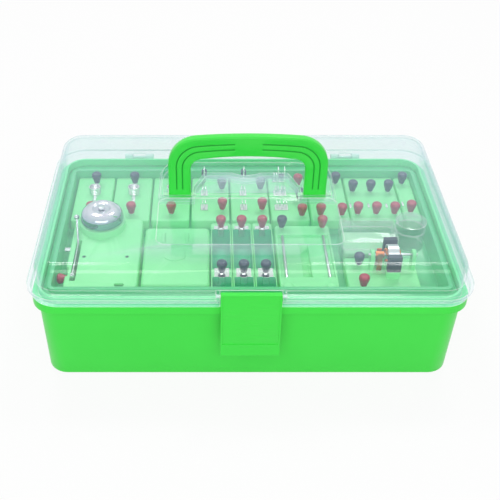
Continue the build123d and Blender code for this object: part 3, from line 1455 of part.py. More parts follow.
with BuildPart() as jar_cap:
    with BuildSketch(Plane.XY.offset(jar_joint_z)):
        with Locations((jar_x, jar_y)):
            Circle(jar_d / 2)
    extrude(amount=jar_top_z - jar_joint_z)
    with BuildSketch(Plane.XY.offset(jar_joint_z)):
        with Locations((jar_x, jar_y)):
            Circle(jar_d / 2 - jar_wall)
    extrude(amount=jar_top_z - jar_wall - jar_joint_z, mode=Mode.SUBTRACT)
jar_cap.part.label = "jar_cap"
export_step(jar_cap.part, "parts/jar_cap.step")
# Motor base: a hollow board with two bearing uprights and two pedestals for the magnets
motor_y = motor_rear_y - motor_axis_back
shaft_z = tray_floor_z + shaft_height
rotor_x = motor_left_x + rotor_offset
commutator_x = motor_left_x + commutator_offset
bearing_x = [motor_left_x + offset_x for offset_x in bearing_offsets]
motor_post_x = motor_left_x + motor_post_offset
motor_black_y = motor_rear_y - motor_black_back
motor_red_y = front_row_y + motor_red_run
black_posts[motor_base_z].append((motor_post_x, motor_black_y))
red_posts[motor_base_z].append((motor_post_x, motor_red_y))
magnet_reach = rotor_d / 2 + magnet_gap
magnet_low_z = shaft_z - magnet_height / 2
magnet_places = (motor_y + magnet_reach, motor_y - magnet_reach - magnet_thickness)
with BuildPart() as motor_base:
    add(hollow_board(motor_left_x, front_row_y, motor_width, motor_length, motor_base_z,
                     [(motor_post_x, motor_black_y), (motor_post_x, motor_red_y)]))
    for upright_x in bearing_x:
        with BuildSketch(Plane.YZ.offset(upright_x - bearing_thickness / 2)):
            with Locations((motor_y, (motor_base_z - board_edge + shaft_z) / 2)):
                Rectangle(bearing_width, shaft_z - motor_base_z + board_edge)
            with Locations((motor_y, shaft_z)):
                Circle(bearing_width / 2)
            with Locations((motor_y, shaft_z)):
                Circle(shaft_d / 2 + pin_clearance, mode=Mode.SUBTRACT)
        extrude(amount=bearing_thickness)
    with BuildSketch(Plane.XY.offset(motor_base_z - board_edge)):
        for magnet_y in magnet_places:
            with Locations((rotor_x, magnet_y + magnet_thickness / 2)):
                Rectangle(magnet_width, magnet_thickness)
    extrude(amount=magnet_low_z - motor_base_z + board_edge)
motor_base.part.label = "motor_base"
export_step(motor_base.part, "parts/motor_base.step")

with BuildPart() as motor_magnets:
    with BuildSketch(Plane.XY.offset(magnet_low_z)):
        for magnet_y in magnet_places:
            with Locations((rotor_x, magnet_y + magnet_thickness / 2)):
                Rectangle(magnet_width, magnet_thickness)
    extrude(amount=magnet_height)
motor_magnets.part.label = "motor_magnets"
export_step(motor_magnets.part, "parts/motor_magnets.step")

# Rotor: a shaft, a core of three poles, a coil round each pole's web and a commutator
shaft_left_x = bearing_x[0] - bearing_thickness / 2 - shaft_over
shaft_right_x = bearing_x[1] + bearing_thickness / 2 + shaft_over
core_left_x = rotor_x - rotor_length / 2
shoe_inner_d = rotor_d - 2 * rotor_shoe
shaft_point = (motor_y, shaft_z)
with BuildPart() as motor_shaft:
    with BuildSketch(Plane.YZ.offset(shaft_left_x)):
        with Locations(shaft_point):
            Circle(shaft_d / 2)
    extrude(amount=shaft_right_x - shaft_left_x)
motor_shaft.part.label = "motor_shaft"
export_step(motor_shaft.part, "parts/motor_shaft.step")

with BuildPart() as motor_core:
    with BuildSketch(Plane.YZ.offset(core_left_x)):
        with Locations(shaft_point):
            Circle(rotor_d / 2)
            Circle(shoe_inner_d / 2, mode=Mode.SUBTRACT)
            Circle(rotor_hub_d / 2)
            with PolarLocations(shoe_inner_d / 4, rotor_poles):
                Rectangle(shoe_inner_d / 2 + rotor_shoe, rotor_web)
            with PolarLocations(shoe_inner_d / 2 + rotor_shoe / 2, rotor_poles, start_angle=60):
                Rectangle(2 * rotor_shoe, rotor_mouth, mode=Mode.SUBTRACT)
            Circle(shaft_d / 2, mode=Mode.SUBTRACT)
    extrude(amount=rotor_length)
motor_core.part.label = "motor_core"
export_step(motor_core.part, "parts/motor_core.step")

coil_half = rotor_web / 2 + coil_wire + coil_clearance
coil_reach = sqrt((shoe_inner_d / 2) ** 2 - coil_half ** 2) - coil_clearance
coil_radius = coil_reach - coil_depth / 2
with BuildPart() as motor_coils:
    for pole in range(rotor_poles):
        turn = pole * 360 / rotor_poles
        coil_plane = Plane(
            origin=(rotor_x, motor_y + coil_radius * cos(radians(turn)),
                    shaft_z + coil_radius * sin(radians(turn))),
            x_dir=(1, 0, 0),
            z_dir=(0, cos(radians(turn)), sin(radians(turn))),
        )
        with BuildSketch(coil_plane):
            Rectangle(rotor_length + 2 * (coil_wire + coil_clearance), 2 * coil_half)
            Rectangle(rotor_length + 2 * coil_clearance, rotor_web + 2 * coil_clearance,
                      mode=Mode.SUBTRACT)
        extrude(amount=coil_depth / 2, both=True)
motor_coils.part.label = "motor_coils"
export_step(motor_coils.part, "parts/motor_coils.step")

with BuildPart() as motor_commutator:
    with BuildSketch(Plane.YZ.offset(commutator_x - commutator_length / 2)):
        with Locations(shaft_point):
            Circle(commutator_d / 2)
            Circle(shaft_d / 2, mode=Mode.SUBTRACT)
    extrude(amount=commutator_length)
motor_commutator.part.label = "motor_commutator"
export_step(motor_commutator.part, "parts/motor_commutator.step")

# Brushes: two strips that stand on the base, one on each side of the commutator
brush_reach = commutator_d / 2 + brush_gap + brush_sheet / 2
with BuildPart() as motor_brushes:
    with BuildSketch(Plane.XY.offset(motor_base_z)):
        with Locations((commutator_x, motor_y - brush_reach), (commutator_x, motor_y + brush_reach)):
            Rectangle(brush_width, brush_sheet)
    extrude(amount=brush_rise)
motor_brushes.part.label = "motor_brushes"
export_step(motor_brushes.part, "parts/motor_brushes.step")
# Binding posts, made last because every board above has named its own
def cap_group(points, low_z):
    """Post caps that stand at these points, each widening to a bevelled top."""
    with BuildPart() as group:
        with BuildSketch(Plane.XY.offset(low_z)):
            with Locations(*points):
                RegularPolygon(cap_neck_d / 2, cap_sides)
        extrude(amount=cap_height - cap_dome, taper=-cap_flare)
        with BuildSketch(Plane.XY.offset(low_z + cap_height - cap_dome)):
            with Locations(*points):
                RegularPolygon(cap_d / 2, cap_sides)
        extrude(amount=cap_dome, taper=45)
    return group.part


with BuildPart() as red_post_caps:
    for base_z, points in red_posts.items():
        add(cap_group(points, base_z + insert_rise))
    with BuildSketch(side_plane.offset(side_post_gap)):
        RegularPolygon(cap_neck_d / 2, cap_sides)
    extrude(amount=side_cap_height - cap_dome, taper=-cap_flare)
    with BuildSketch(side_plane.offset(side_post_gap + side_cap_height - cap_dome)):
        RegularPolygon(cap_d / 2, cap_sides)
    extrude(amount=cap_dome, taper=45)
red_post_caps.part.label = "red_post_caps"
export_step(red_post_caps.part, "parts/red_post_caps.step")

with BuildPart() as black_post_caps:
    for base_z, points in black_posts.items():
        add(cap_group(points, base_z + insert_rise))
black_post_caps.part.label = "black_post_caps"
export_step(black_post_caps.part, "parts/black_post_caps.step")

with BuildPart() as post_inserts:
    for base_z, points in red_posts.items():
        with BuildSketch(Plane.XY.offset(base_z - insert_below)):
            with Locations(*points, *black_posts[base_z]):
                RegularPolygon(insert_d / 2, 6)
        extrude(amount=insert_below + insert_rise)
    with BuildSketch(side_plane.offset(-side_insert_seat)):
        RegularPolygon(insert_d / 2, 6)
    extrude(amount=side_insert_seat + side_post_gap)
post_inserts.part.label = "post_inserts"
export_step(post_inserts.part, "parts/post_inserts.step")
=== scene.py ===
# %% [markdown]
# This lesson dresses an electricity and magnetism kit: a green carrying case with a clear lid, and
# under it a tray of small classroom apparatus. The engineering model comes in as a fixed frame, in
# metres, with its origin under the middle of the case, X to the right, Y to the back and Z up.
# Everything made here is placed from that frame, so nothing has to be fitted by eye.

import json
from math import cos, pi, radians, sin

import bmesh
import bpy
import numpy as np
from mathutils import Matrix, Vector


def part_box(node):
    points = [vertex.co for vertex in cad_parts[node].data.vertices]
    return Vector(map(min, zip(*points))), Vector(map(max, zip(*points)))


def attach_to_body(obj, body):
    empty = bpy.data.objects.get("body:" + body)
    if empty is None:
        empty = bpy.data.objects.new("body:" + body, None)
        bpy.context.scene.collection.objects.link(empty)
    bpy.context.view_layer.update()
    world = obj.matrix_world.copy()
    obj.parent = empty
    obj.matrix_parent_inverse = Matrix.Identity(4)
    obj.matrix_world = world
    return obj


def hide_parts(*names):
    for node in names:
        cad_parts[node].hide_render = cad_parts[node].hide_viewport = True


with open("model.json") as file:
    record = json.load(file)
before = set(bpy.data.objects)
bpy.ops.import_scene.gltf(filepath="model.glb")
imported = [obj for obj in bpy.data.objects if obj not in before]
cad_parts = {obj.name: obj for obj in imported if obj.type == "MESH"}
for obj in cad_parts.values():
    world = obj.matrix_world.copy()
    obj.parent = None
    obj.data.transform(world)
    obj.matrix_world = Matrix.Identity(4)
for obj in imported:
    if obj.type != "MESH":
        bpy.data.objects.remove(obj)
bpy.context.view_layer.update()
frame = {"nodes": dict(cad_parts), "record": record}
MM = 0.001


def box_mm(node):
    """The lowest and the highest corner of an engineered node at rest, in millimetres."""
    return [np.array(corner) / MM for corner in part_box(node)]



# %% [markdown]
# A material is a formula over the surface. Writing it as nodes is long-winded, so one small class
# wraps a socket and lets Python's own operators add the Math nodes. Noise * 0.2 + 0.4 then reads as
# it would on paper, and 1 - mask works because the reflected operators are there too.

# %% A socket that can be used in a formula
class Wire:
    """A shader socket that takes part in Python expressions."""

    def __init__(self, finish, socket):
        self.finish = finish
        self.socket = socket

    def __add__(self, other):
        return self.finish.maths("ADD", self, other)

    def __radd__(self, other):
        return self.finish.maths("ADD", other, self)

    def __sub__(self, other):
        return self.finish.maths("SUBTRACT", self, other)

    def __rsub__(self, other):
        return self.finish.maths("SUBTRACT", other, self)

    def __mul__(self, other):
        return self.finish.maths("MULTIPLY", self, other)

    def __rmul__(self, other):
        return self.finish.maths("MULTIPLY", other, self)

    def __truediv__(self, other):
        return self.finish.maths("DIVIDE", self, other)

    def __rtruediv__(self, other):
        return self.finish.maths("DIVIDE", other, self)

    def __pow__(self, other):
        return self.finish.maths("POWER", self, other)

    def __rpow__(self, other):
        return self.finish.maths("POWER", other, self)


# %% A material under construction
class Finish:
    """A material's node tree: one method adds any node, and a few more name the common ones."""

    def __init__(self, name):
        self.material = bpy.data.materials.new(name)
        self.material.use_nodes = True
        self.tree = self.material.node_tree
        self.tree.nodes.clear()

    def feed(self, socket, value):
        """Links a wire to a socket, or sets the socket's own value."""
        if isinstance(value, Wire):
            self.tree.links.new(value.socket, socket)
        else:
            socket.default_value = value

    def node(self, kind, settings=None, inputs=None, out=0):
        """Adds a node: its settings first, then the values or links of its sockets."""
        added = self.tree.nodes.new(kind)
        for key, value in (settings or {}).items():
            setattr(added, key, value)
        for key, value in (inputs or {}).items():
            self.feed(added.inputs[key], value)
        return Wire(self, added.outputs[out])

    def maths(self, operation, first, second=0.0):
        """One Math node."""
        return self.node("ShaderNodeMath", {"operation": operation}, {0: first, 1: second})

    def clamp(self, value):
        """The value held between 0 and 1."""
        return self.node("ShaderNodeClamp", inputs={0: value})

    def mix(self, factor, first, second):
        """A colour between two others."""
        inputs = {0: factor, 6: first, 7: second}
        return self.node("ShaderNodeMix", {"data_type": "RGBA"}, inputs, 2)

    def place(self, scale=(1.0, 1.0, 1.0), centre=(0.0, 0.0, 0.0)):
        """Object coordinates in metres, stretched about a centre."""
        point = self.node("ShaderNodeTexCoord", out=3)
        moved = self.node("ShaderNodeVectorMath", {"operation": "SUBTRACT"}, {0: point, 1: centre})
        return self.node("ShaderNodeVectorMath", {"operation": "MULTIPLY"}, {0: moved, 1: scale})

    def noise(self, size, detail=2.0, stretch=(1.0, 1.0, 1.0)):
        """Soft noise whose features are about size metres across, from 0 to 1."""
        settings = {"noise_dimensions": "3D"}
        inputs = {"Vector": self.place(stretch), "Scale": 1.0 / size, "Detail": detail}
        return self.node("ShaderNodeTexNoise", settings, inputs)

    def eased(self, radius):
        """A normal that turns smoothly over edges, as if they had this radius in millimetres."""
        return self.node("ShaderNodeBevel", {"samples": 4}, {"Radius": radius * MM})

    def bump(self, height, strength, distance, radius=0.3):
        """A normal that leans as if the surface had this height, on eased edges."""
        return self.node("ShaderNodeBump", inputs={
            "Height": height, "Strength": strength, "Distance": distance,
            "Normal": self.eased(radius),
        })

    def edges(self, radius):
        """A mask of sharp edges: 14 (1 - eased normal . plain normal) - 0.1, held to 0 to 1.

        The small number taken off keeps gently curved walls out of it.
        """
        plain = self.node("ShaderNodeNewGeometry", out=1)
        normals = {0: self.eased(radius), 1: plain}
        likeness = self.node("ShaderNodeVectorMath", {"operation": "DOT_PRODUCT"}, normals, 1)
        return self.clamp((1 - likeness) * 14.0 - 0.1)

    def principled(self, **inputs):
        """The Principled shader, its sockets named with underscores for spaces."""
        named = {key.replace("_", " "): value for key, value in inputs.items()}
        return self.node("ShaderNodeBsdfPrincipled", inputs=named)

    def done(self, surface):
        """Sends a shader to the output and returns the material."""
        output = self.tree.nodes.new("ShaderNodeOutputMaterial")
        self.tree.links.new(surface.socket, output.inputs["Surface"])
        return self.material


def linear(red, green, blue):
    """A display colour of 0 to 255 per channel, as the linear colour that shaders expect."""
    display = np.array([red, green, blue]) / 255
    low = display / 12.92
    high = ((display + 0.055) / 1.055) ** 2.4
    return (*np.where(display <= 0.04045, low, high).tolist(), 1.0)


# %% [markdown]
# The camera comes first, because it decides what has to be good. The photograph looks down at the
# case by about 37 degrees from in front, from roughly 0.6 m away, and slightly left of its middle.

# %% Camera at the photograph's angle
camera_data = bpy.data.cameras.new("camera")
camera_data.sensor_width = 36.0
camera_data.lens = 63.51
camera_data.shift_x = 0.083
camera = bpy.data.objects.new("camera", camera_data)
camera.location = (-0.03221, -0.61518, 0.51654)
camera.rotation_euler = (radians(90 - 36.96), 0.0, 0.0)
bpy.context.scene.collection.objects.link(camera)
bpy.context.scene.camera = camera
bpy.context.scene.view_settings.view_transform = "Standard"

# %% [markdown]
# The studio is a white sweep with soft lamps. The photograph shows two bright spots on the side of
# the gong, so two lamps stood in front. The white line along the lid's front edge, broken in the
# middle, is the mirror of two more that hung over the back. The world fills the shadows.

# %% Lamps and world
def soft_lamp(name, at, towards, size, watts):
    """A square area lamp that faces a point."""
    data = bpy.data.lights.new(name, "AREA")
    data.size = size
    data.energy = watts
    lamp = bpy.data.objects.new(name, data)
    lamp.location = at
    lamp.rotation_euler = (Vector(towards) - Vector(at)).to_track_quat("-Z", "Y").to_euler()
    bpy.context.scene.collection.objects.link(lamp)


case_middle = (0.0, 0.0, 0.05)
soft_lamp("front_left_lamp", (-0.46, -1.15, 0.95), case_middle, 0.75, 4.4)
soft_lamp("front_right_lamp", (0.34, -1.15, 0.95), case_middle, 0.75, 4.0)
soft_lamp("over_left_lamp", (-0.44, 0.62, 1.28), case_middle, 0.34, 4.4)
soft_lamp("over_right_lamp", (0.36, 0.62, 1.28), case_middle, 0.34, 4.4)


def studio_world(as_light=0.52, as_seen=1.0):
    """An even white room, with one strength as a light and one for the camera and for gloss."""
    world = bpy.data.worlds.new("studio")
    bpy.context.scene.world = world
    world.use_nodes = True
    tree = world.node_tree
    tree.nodes.clear()
    rays = tree.nodes.new("ShaderNodeLightPath")
    camera_or_gloss = tree.nodes.new("ShaderNodeMath")
    camera_or_gloss.operation = "MAXIMUM"
    tree.links.new(rays.outputs["Is Camera Ray"], camera_or_gloss.inputs[0])
    tree.links.new(rays.outputs["Is Glossy Ray"], camera_or_gloss.inputs[1])
    mixed = tree.nodes.new("ShaderNodeMixShader")
    output = tree.nodes.new("ShaderNodeOutputWorld")
    for number, strength in enumerate((as_light, as_seen)):
        room = tree.nodes.new("ShaderNodeBackground")
        room.inputs["Color"].default_value = (1.0, 1.0, 1.0, 1.0)
        room.inputs["Strength"].default_value = strength
        tree.links.new(room.outputs[0], mixed.inputs[1 + number])
    tree.links.new(camera_or_gloss.outputs[0], mixed.inputs[0])
    tree.links.new(mixed.outputs[0], output.inputs["Surface"])


studio_world()


# %% [markdown]
# More light would wash out the greens, so the card gets its whiteness from its own shader instead:
# a ray knows whether it comes from the camera, a mirror or clear plastic, and to those the card
# adds a glow. The shadow still shows through it.

# %% Floor
def sweep_material(glow=0.92):
    """White card, whose share of its own white light for camera and mirror rays is the glow."""
    paper = Finish("sweep")
    rays = paper.tree.nodes.new("ShaderNodeLightPath")
    camera_ray = Wire(paper, rays.outputs["Is Camera Ray"])
    glossy_ray = Wire(paper, rays.outputs["Is Glossy Ray"])
    through_ray = Wire(paper, rays.outputs["Is Transmission Ray"])
    seen = paper.clamp(camera_ray + glossy_ray + through_ray)
    card = paper.node("ShaderNodeBsdfDiffuse", inputs={"Color": (0.82, 0.82, 0.82, 1.0)})
    white = paper.node("ShaderNodeEmission", inputs={"Color": (1, 1, 1, 1), "Strength": 1.0})
    return paper.done(paper.node("ShaderNodeMixShader", inputs={0: seen * glow, 1: card, 2: white}))


bpy.ops.mesh.primitive_plane_add(size=6.0)
floor = bpy.context.object
floor.name = "floor"
floor.data.materials.append(sweep_material())

# %% [markdown]
# Most pieces are right as engineered, but their meshes are loose triangles with hard corners. A
# copy of such a mesh is welded, and a narrow bevel rounds its edges. Real mouldings have those
# small radii, and they are what catches the light. Some pieces are moulded in one but look like
# two finishes, so a test on the middle and the direction of each face can pick another material.
# Most of these other materials are painted light and shade: a paler rim, darker grooves and bays.

# %% Which body carries each node
body_of_node = {
    node: body
    for body, nodes in frame["record"]["behaviour"]["bodies"].items()
    for node in nodes
}


def attach(piece, body, *nodes):
    """Links a finished piece to its body, and hides the engineered nodes it stands for."""
    bpy.context.scene.collection.objects.link(piece)
    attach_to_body(piece, body)
    if nodes:
        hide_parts(*nodes)
    return piece


# %% Dress an engineered node
def dressed(node, material, bevel=0.25, smooth=32, others=()):
    """A welded copy of a node with bevelled edges: bevel in millimetres, smooth in degrees.

    others lists pairs of a material and a test. The test takes the face centres in millimetres and
    the face normals, as arrays, and picks the faces that get that material.
    """
    mesh = frame["nodes"][node].data.copy()
    work = bmesh.new()
    work.from_mesh(mesh)
    bmesh.ops.remove_doubles(work, verts=work.verts, dist=1e-6)
    work.to_mesh(mesh)
    work.free()
    mesh.materials.clear()
    mesh.materials.append(material)
    centres = np.zeros(3 * len(mesh.polygons))
    normals = np.zeros(3 * len(mesh.polygons))
    mesh.polygons.foreach_get("center", centres)
    mesh.polygons.foreach_get("normal", normals)
    slots = np.zeros(len(mesh.polygons), np.int32)
    for number, (other, chosen_by) in enumerate(others):
        mesh.materials.append(other)
        slots[chosen_by(centres.reshape(-1, 3) / MM, normals.reshape(-1, 3))] = number + 1
    mesh.polygons.foreach_set("material_index", slots)
    if others:
        print(node, "faces by finish", np.bincount(slots).tolist())
    mesh.shade_smooth()
    mesh.set_sharp_from_angle(angle=radians(smooth))
    piece = bpy.data.objects.new(node + "_piece", mesh)
    if bevel:
        edge = piece.modifiers.new("edge", "BEVEL")
        edge.width = bevel * MM
        edge.segments = 2
        edge.limit_method = "ANGLE"
        edge.angle_limit = radians(smooth)
        edge.harden_normals = True
    return attach(piece, body_of_node[node], node)


# %% [markdown]
# The finishes. Moulded plastic is a smooth skin over a very fine grain, so its colour barely moves
# and its gloss wanders a little. The fine grain goes in as a bump, and broad noise moves roughness.

# %% Plastics
def plastic(name, colour, rough, grain=0.0006, depth=0.00002, coat=0.0, glow=0.0):
    """Moulded plastic: a colour, a gloss that wanders, and a moulded grain of a size and a depth.

    glow is a painted glow: the plastic gives off a little of its own colour as light, which lifts
    its shadows and keeps them green, in place of the light that thin plastic lets through from
    behind.
    """
    mottle = 0.06
    skin = Finish(name)
    broad = skin.noise(0.03, detail=3.0)
    fine = skin.noise(grain, detail=2.0)
    darker = tuple(channel * (1 - mottle) for channel in colour[:3]) + (1.0,)
    surface = skin.principled(
        Base_Color=skin.mix(broad, colour, darker),
        Roughness=broad * 0.12 + (rough - 0.06),
        Coat_Weight=coat,
        Coat_Roughness=0.08,
        # Painted glow: the plastic gives off its own colour as light, as strong as glow says.
        Emission_Color=colour,
        Emission_Strength=glow,
        Normal=skin.bump(fine, 0.35, depth),
    )
    return skin.done(surface)


# Painted glow: the rim, tray, board and bay greens below give off a little of their own colour as
# light, which lifts their shadows.
case_green = plastic("case_green", linear(56, 232, 66), 0.34)
# Painted light: the rim's paler copy of the case green, for its paler look under the clear lid.
rim_painted_paler = plastic("rim_painted_paler", linear(112, 230, 158), 0.3, coat=0.7, glow=0.08)
handle_green = plastic("handle_green", linear(56, 228, 68), 0.3)
# Painted shade: a darker green for the floors and walls of the handle's grooves.
groove_painted_shade = plastic("groove_painted_shade", linear(24, 178, 52), 0.5)
tray_green = plastic("tray_green", linear(72, 190, 124), 0.36, coat=0.5, glow=0.15)
board_green = plastic("board_green", linear(138, 236, 160), 0.42, glow=0.07)
red_plastic = plastic("red_plastic", linear(178, 20, 62), 0.36, coat=0.3)
black_plastic = plastic("black_plastic", linear(8, 26, 66), 0.34, coat=0.3)
knuckle_milk = plastic("knuckle_milk", linear(218, 238, 232), 0.4)
pale_green = plastic("pale_green", linear(176, 240, 190), 0.5)
# Painted shade: a dark green for the small holes the cover screws sit in.
hole_painted_shade = plastic("hole_painted_shade", linear(30, 104, 70), 0.6)
# Painted shade: a darker, bluer green for the deep battery bays.
bay_painted_shade = plastic("bay_painted_shade", linear(70, 196, 146), 0.5, glow=0.05)
magnet_black = plastic("magnet_black", linear(26, 34, 58), 0.5, grain=0.0004, depth=0.00004)


# %% [markdown]
# Plated metal is bright with faint polishing lines. Steel and copper take the same recipe with
# their own colour and gloss.

# %% Metals
def metal(name, colour, rough, lines=(1.0, 1.0, 1.0)):
    """Bare or plated metal with faint lines drawn along one direction."""
    skin = Finish(name)
    brushed = skin.noise(0.0005, detail=2.0, stretch=lines)
    surface = skin.principled(
        Base_Color=colour,
        Metallic=1.0,
        Roughness=brushed * 0.14 + rough,
        Normal=skin.bump(brushed, 0.12, 0.00001),
    )
    return skin.done(surface)


nickel = metal("nickel", linear(238, 238, 240), 0.16, lines=(1.0, 0.12, 1.0))
steel = metal("steel", linear(206, 208, 212), 0.24, lines=(1.0, 0.1, 1.0))
copper = metal("copper", linear(214, 122, 62), 0.3, lines=(0.1, 1.0, 1.0))


# %% [markdown]
# Clear polystyrene shows what is behind it through a faint bluish veil, turns milky where it is
# seen edge on, and mirrors the lamps on every wall. Its moulded edges get painted highlights: white
# outlines, for the light they bend away. Real refraction would need many bounces of light through
# thin walls, so two mixes stand in for it. The first shows the veil, by a cube of how edge-on the
# skin lies and by the mask of edges, and along those edges it paints the veil white.
# The second shows the mirror, which grows with the fifth power of how edge-on the skin lies.

# %% Clear plastic
def clear_plastic(name, tint, veil, edge, rough, shine=0.028, edge_highlight=0.75):
    """Thin clear plastic: veil is its haze face on, edge how much more it shows edge on.

    The last argument is how strongly its moulded edges are painted white, a painted highlight for
    the light they bend away like small lenses.
    """
    skin = Finish(name)
    edge_on = skin.node("ShaderNodeLayerWeight", inputs={"Blend": 0.5}, out=1)
    haze = skin.noise(0.05, detail=2.0)
    moulded = skin.edges(radius=0.8)
    # Painted highlight: the veil is raised along the moulded edges.
    shown = skin.clamp(edge_on ** 3.0 * edge + haze * 0.015 + veil + moulded * edge_highlight)
    mirrored = skin.clamp(edge_on ** 5.0 * 0.9 + shine)
    # Painted highlight: the white that the moulded edges are painted.
    painted_edge_highlight = (0.95, 1.0, 0.97, 1.0)
    milk = skin.principled(
        Base_Color=skin.mix(moulded, tint, painted_edge_highlight),
        Roughness=haze * 0.08 + 0.5,
        Specular_IOR_Level=0.0,
    )
    through = skin.node("ShaderNodeBsdfTransparent", inputs={"Color": (0.985, 0.995, 0.99, 1.0)})
    gloss = skin.principled(
        Base_Color=(1.0, 1.0, 1.0, 1.0),
        Metallic=1.0,
        Roughness=haze * 0.04 + rough,
    )
    body = skin.node("ShaderNodeMixShader", inputs={0: shown, 1: through, 2: milk})
    return skin.done(skin.node("ShaderNodeMixShader", inputs={0: mirrored, 1: body, 2: gloss}))


lid_clear = clear_plastic("lid_clear", linear(186, 226, 244), 0.035, 0.55, 0.08)
box_clear = clear_plastic("box_clear", linear(214, 242, 240), 0.0, 0.5, 0.06, shine=0.04)

# %% [markdown]
# The case is green all through, but its rim looks paler under the clear lid, so the rim is painted
# light: a paler copy of the case green. The hinge knuckles show pale. The handle's two fine grooves
# get painted shade, a darker green on their floors and walls. All four are found by where their
# faces
# lie: the hinge pins say where rim and knuckles are, and the handle's thickness where a groove is.

# %% Case, handle and tray
pins_low, _ = box_mm("hinge_pins")
handle_low, handle_high = box_mm("handle")
handle_y = (handle_low[1] + handle_high[1]) / 2
handle_half = (handle_high[1] - handle_low[1]) / 2
rim_above_pins = 1.2
knuckle_before_pins = 2.7
groove_depth = 0.8


def on_the_rim(centres, normals):
    """The flat rim and the coaming, which the lid covers and which look paler: they get a painted
    paler green.
    """
    return centres[:, 2] > pins_low[2] + rim_above_pins


def on_the_knuckles(centres, normals):
    """The hinge knuckles behind the case, of which the photograph shows no green."""
    return centres[:, 1] > pins_low[1] - knuckle_before_pins


def in_the_grooves(centres, normals):
    """The floors and walls of the handle's two fine grooves, which get painted shade."""
    off_middle = np.abs(centres[:, 1] - handle_y)
    floor_depth = handle_half - groove_depth
    walls = (np.abs(normals[:, 1]) < 0.3) & (off_middle > floor_depth - 0.05)
    floors = np.abs(off_middle - floor_depth) < 0.05
    return walls | floors


# The rim's faces get the painted paler green.
on_the_tub = ((rim_painted_paler, on_the_rim), (knuckle_milk, on_the_knuckles))
dressed("tub", case_green, bevel=0.5, others=on_the_tub)
dressed("latch", case_green, bevel=0.5)
# The grooves' faces get painted shade.
dressed("handle", handle_green, bevel=0.15, others=((groove_painted_shade, in_the_grooves),))
dressed("tray", tray_green, bevel=0.4)

# %% [markdown]
# The boards only need welding, bevels and a finish. So do most small pieces, further on.

# %% Boards
for node in ("lamp_board_1", "lamp_board_2", "lamp_board_3", "switch_board_1", "switch_board_2",
             "changeover_board", "terminal_board", "resistor_board", "end_board", "rail_board",
             "parts_box", "parts_box_lid", "motor_base", "bell_body"):
    dressed(node, board_green, bevel=0.3)


# %% [markdown]
# The bays of the battery holders are sunk deep and look darker and bluer than their walls, so their
# faces get painted shade, a darker and bluer green. Their faces lie inside the holder's outer walls
# and below its top, so two distances are enough to tell.

# %% Battery holders
def sunk(node, wall=1.0, below_top=0.3):
    """A test for the faces of an open box that lie inside its walls and below its top."""
    low, high = box_mm(node)

    def chosen(centres, normals):
        nearest_side = np.minimum(centres - low, high - centres)[:, :2].min(axis=1)
        return (nearest_side > wall) & (centres[:, 2] < high[2] - below_top)

    return chosen


for node in ("battery_holder_1", "battery_holder_2", "battery_holder_3"):
    # The sunk bay faces get painted shade.
    dressed(node, board_green, bevel=0.3, others=((bay_painted_shade, sunk(node)),))

# %% [markdown]
# Clear pieces cast no shadow here: a real clear box lets nearly all light through, which a shader
# that mixes in a veil would not. The metal pieces get very narrow bevels, because they are stamped
# from sheet or cut from rod.

# %% Clear boxes, pins, metal and small parts
dressed("case_insert", pale_green, bevel=1.2)
for node, clear in (("lid", lid_clear), ("clear_case", box_clear), ("clear_case_lid", box_clear),
                    ("jar", box_clear), ("jar_cap", box_clear)):
    dressed(node, clear, bevel=0.3).visible_shadow = False
for node in ("hinge_pins", "latch_pin"):
    dressed(node, knuckle_milk, bevel=0.1)
dressed("handle_pins", pale_green, bevel=0.1)
for node in ("switch_pins", "rails", "bell_screws", "bell_pin", "bell_core", "motor_shaft",
             "motor_core", "bell_clapper"):
    dressed(node, steel, bevel=0.1)
for node in ("contact_strips", "switch_clips", "switch_blade_1", "switch_blade_2",
             "switch_blade_3", "battery_contacts", "post_inserts"):
    dressed(node, nickel, bevel=0.08)
for node in ("bell_coil", "motor_commutator", "motor_brushes"):
    dressed(node, copper, bevel=0.15)
dressed("motor_magnets", magnet_black, bevel=0.4)
for node in ("switch_knob_1", "switch_knob_2", "switch_knob_3"):
    dressed(node, black_plastic, bevel=0.3)

# %% [markdown]
# Round pieces are turned: a profile of radius and height is carried round an axis, and the radius
# may also change with the angle, which gives flutes and threads. The whole grid is worked out as
# arrays, and one helper turns any stack of grids into a mesh.

# %% Grids into meshes
def grid_piece(name, grids, material, close_columns=True, close_rows=False, smooth=40):
    """A mesh from grids of points shaped (copies, rows, columns, 3), each joined into quads."""
    copies, rows, columns, _ = grids.shape
    index = np.arange(copies * rows * columns).reshape(copies, rows, columns)
    if close_columns:
        index = np.concatenate([index, index[:, :, :1]], axis=2)
    if close_rows:
        index = np.concatenate([index, index[:, :1]], axis=1)
    corners = (index[:, :-1, :-1], index[:, :-1, 1:], index[:, 1:, 1:], index[:, 1:, :-1])
    faces = np.stack(corners, axis=-1).reshape(-1, 4)
    mesh = bpy.data.meshes.new(name)
    mesh.from_pydata(grids.reshape(-1, 3), [], faces.tolist())
    work = bmesh.new()
    work.from_mesh(mesh)
    bmesh.ops.remove_doubles(work, verts=work.verts, dist=2e-6)
    bmesh.ops.recalc_face_normals(work, faces=work.faces)
    work.to_mesh(mesh)
    work.free()
    mesh.materials.append(material)
    mesh.shade_smooth()
    mesh.set_sharp_from_angle(angle=radians(smooth))
    print(name, "faces", len(mesh.polygons))
    return bpy.data.objects.new(name, mesh)


def turned(profile, columns, wave=None):
    """A profile of (radius, height) rows carried round Z: the point is (r cos a, r sin a, z).

    wave(row angles, profile) returns what is added to the radius at each row and angle.
    """
    angle = np.linspace(0, 2 * pi, columns, endpoint=False)
    radius = profile[:, :1] + np.zeros(columns)
    if wave is not None:
        radius = radius + wave(angle, profile)
    height = profile[:, 1:] + np.zeros(columns)
    return np.stack([radius * np.cos(angle), radius * np.sin(angle), height], axis=-1)


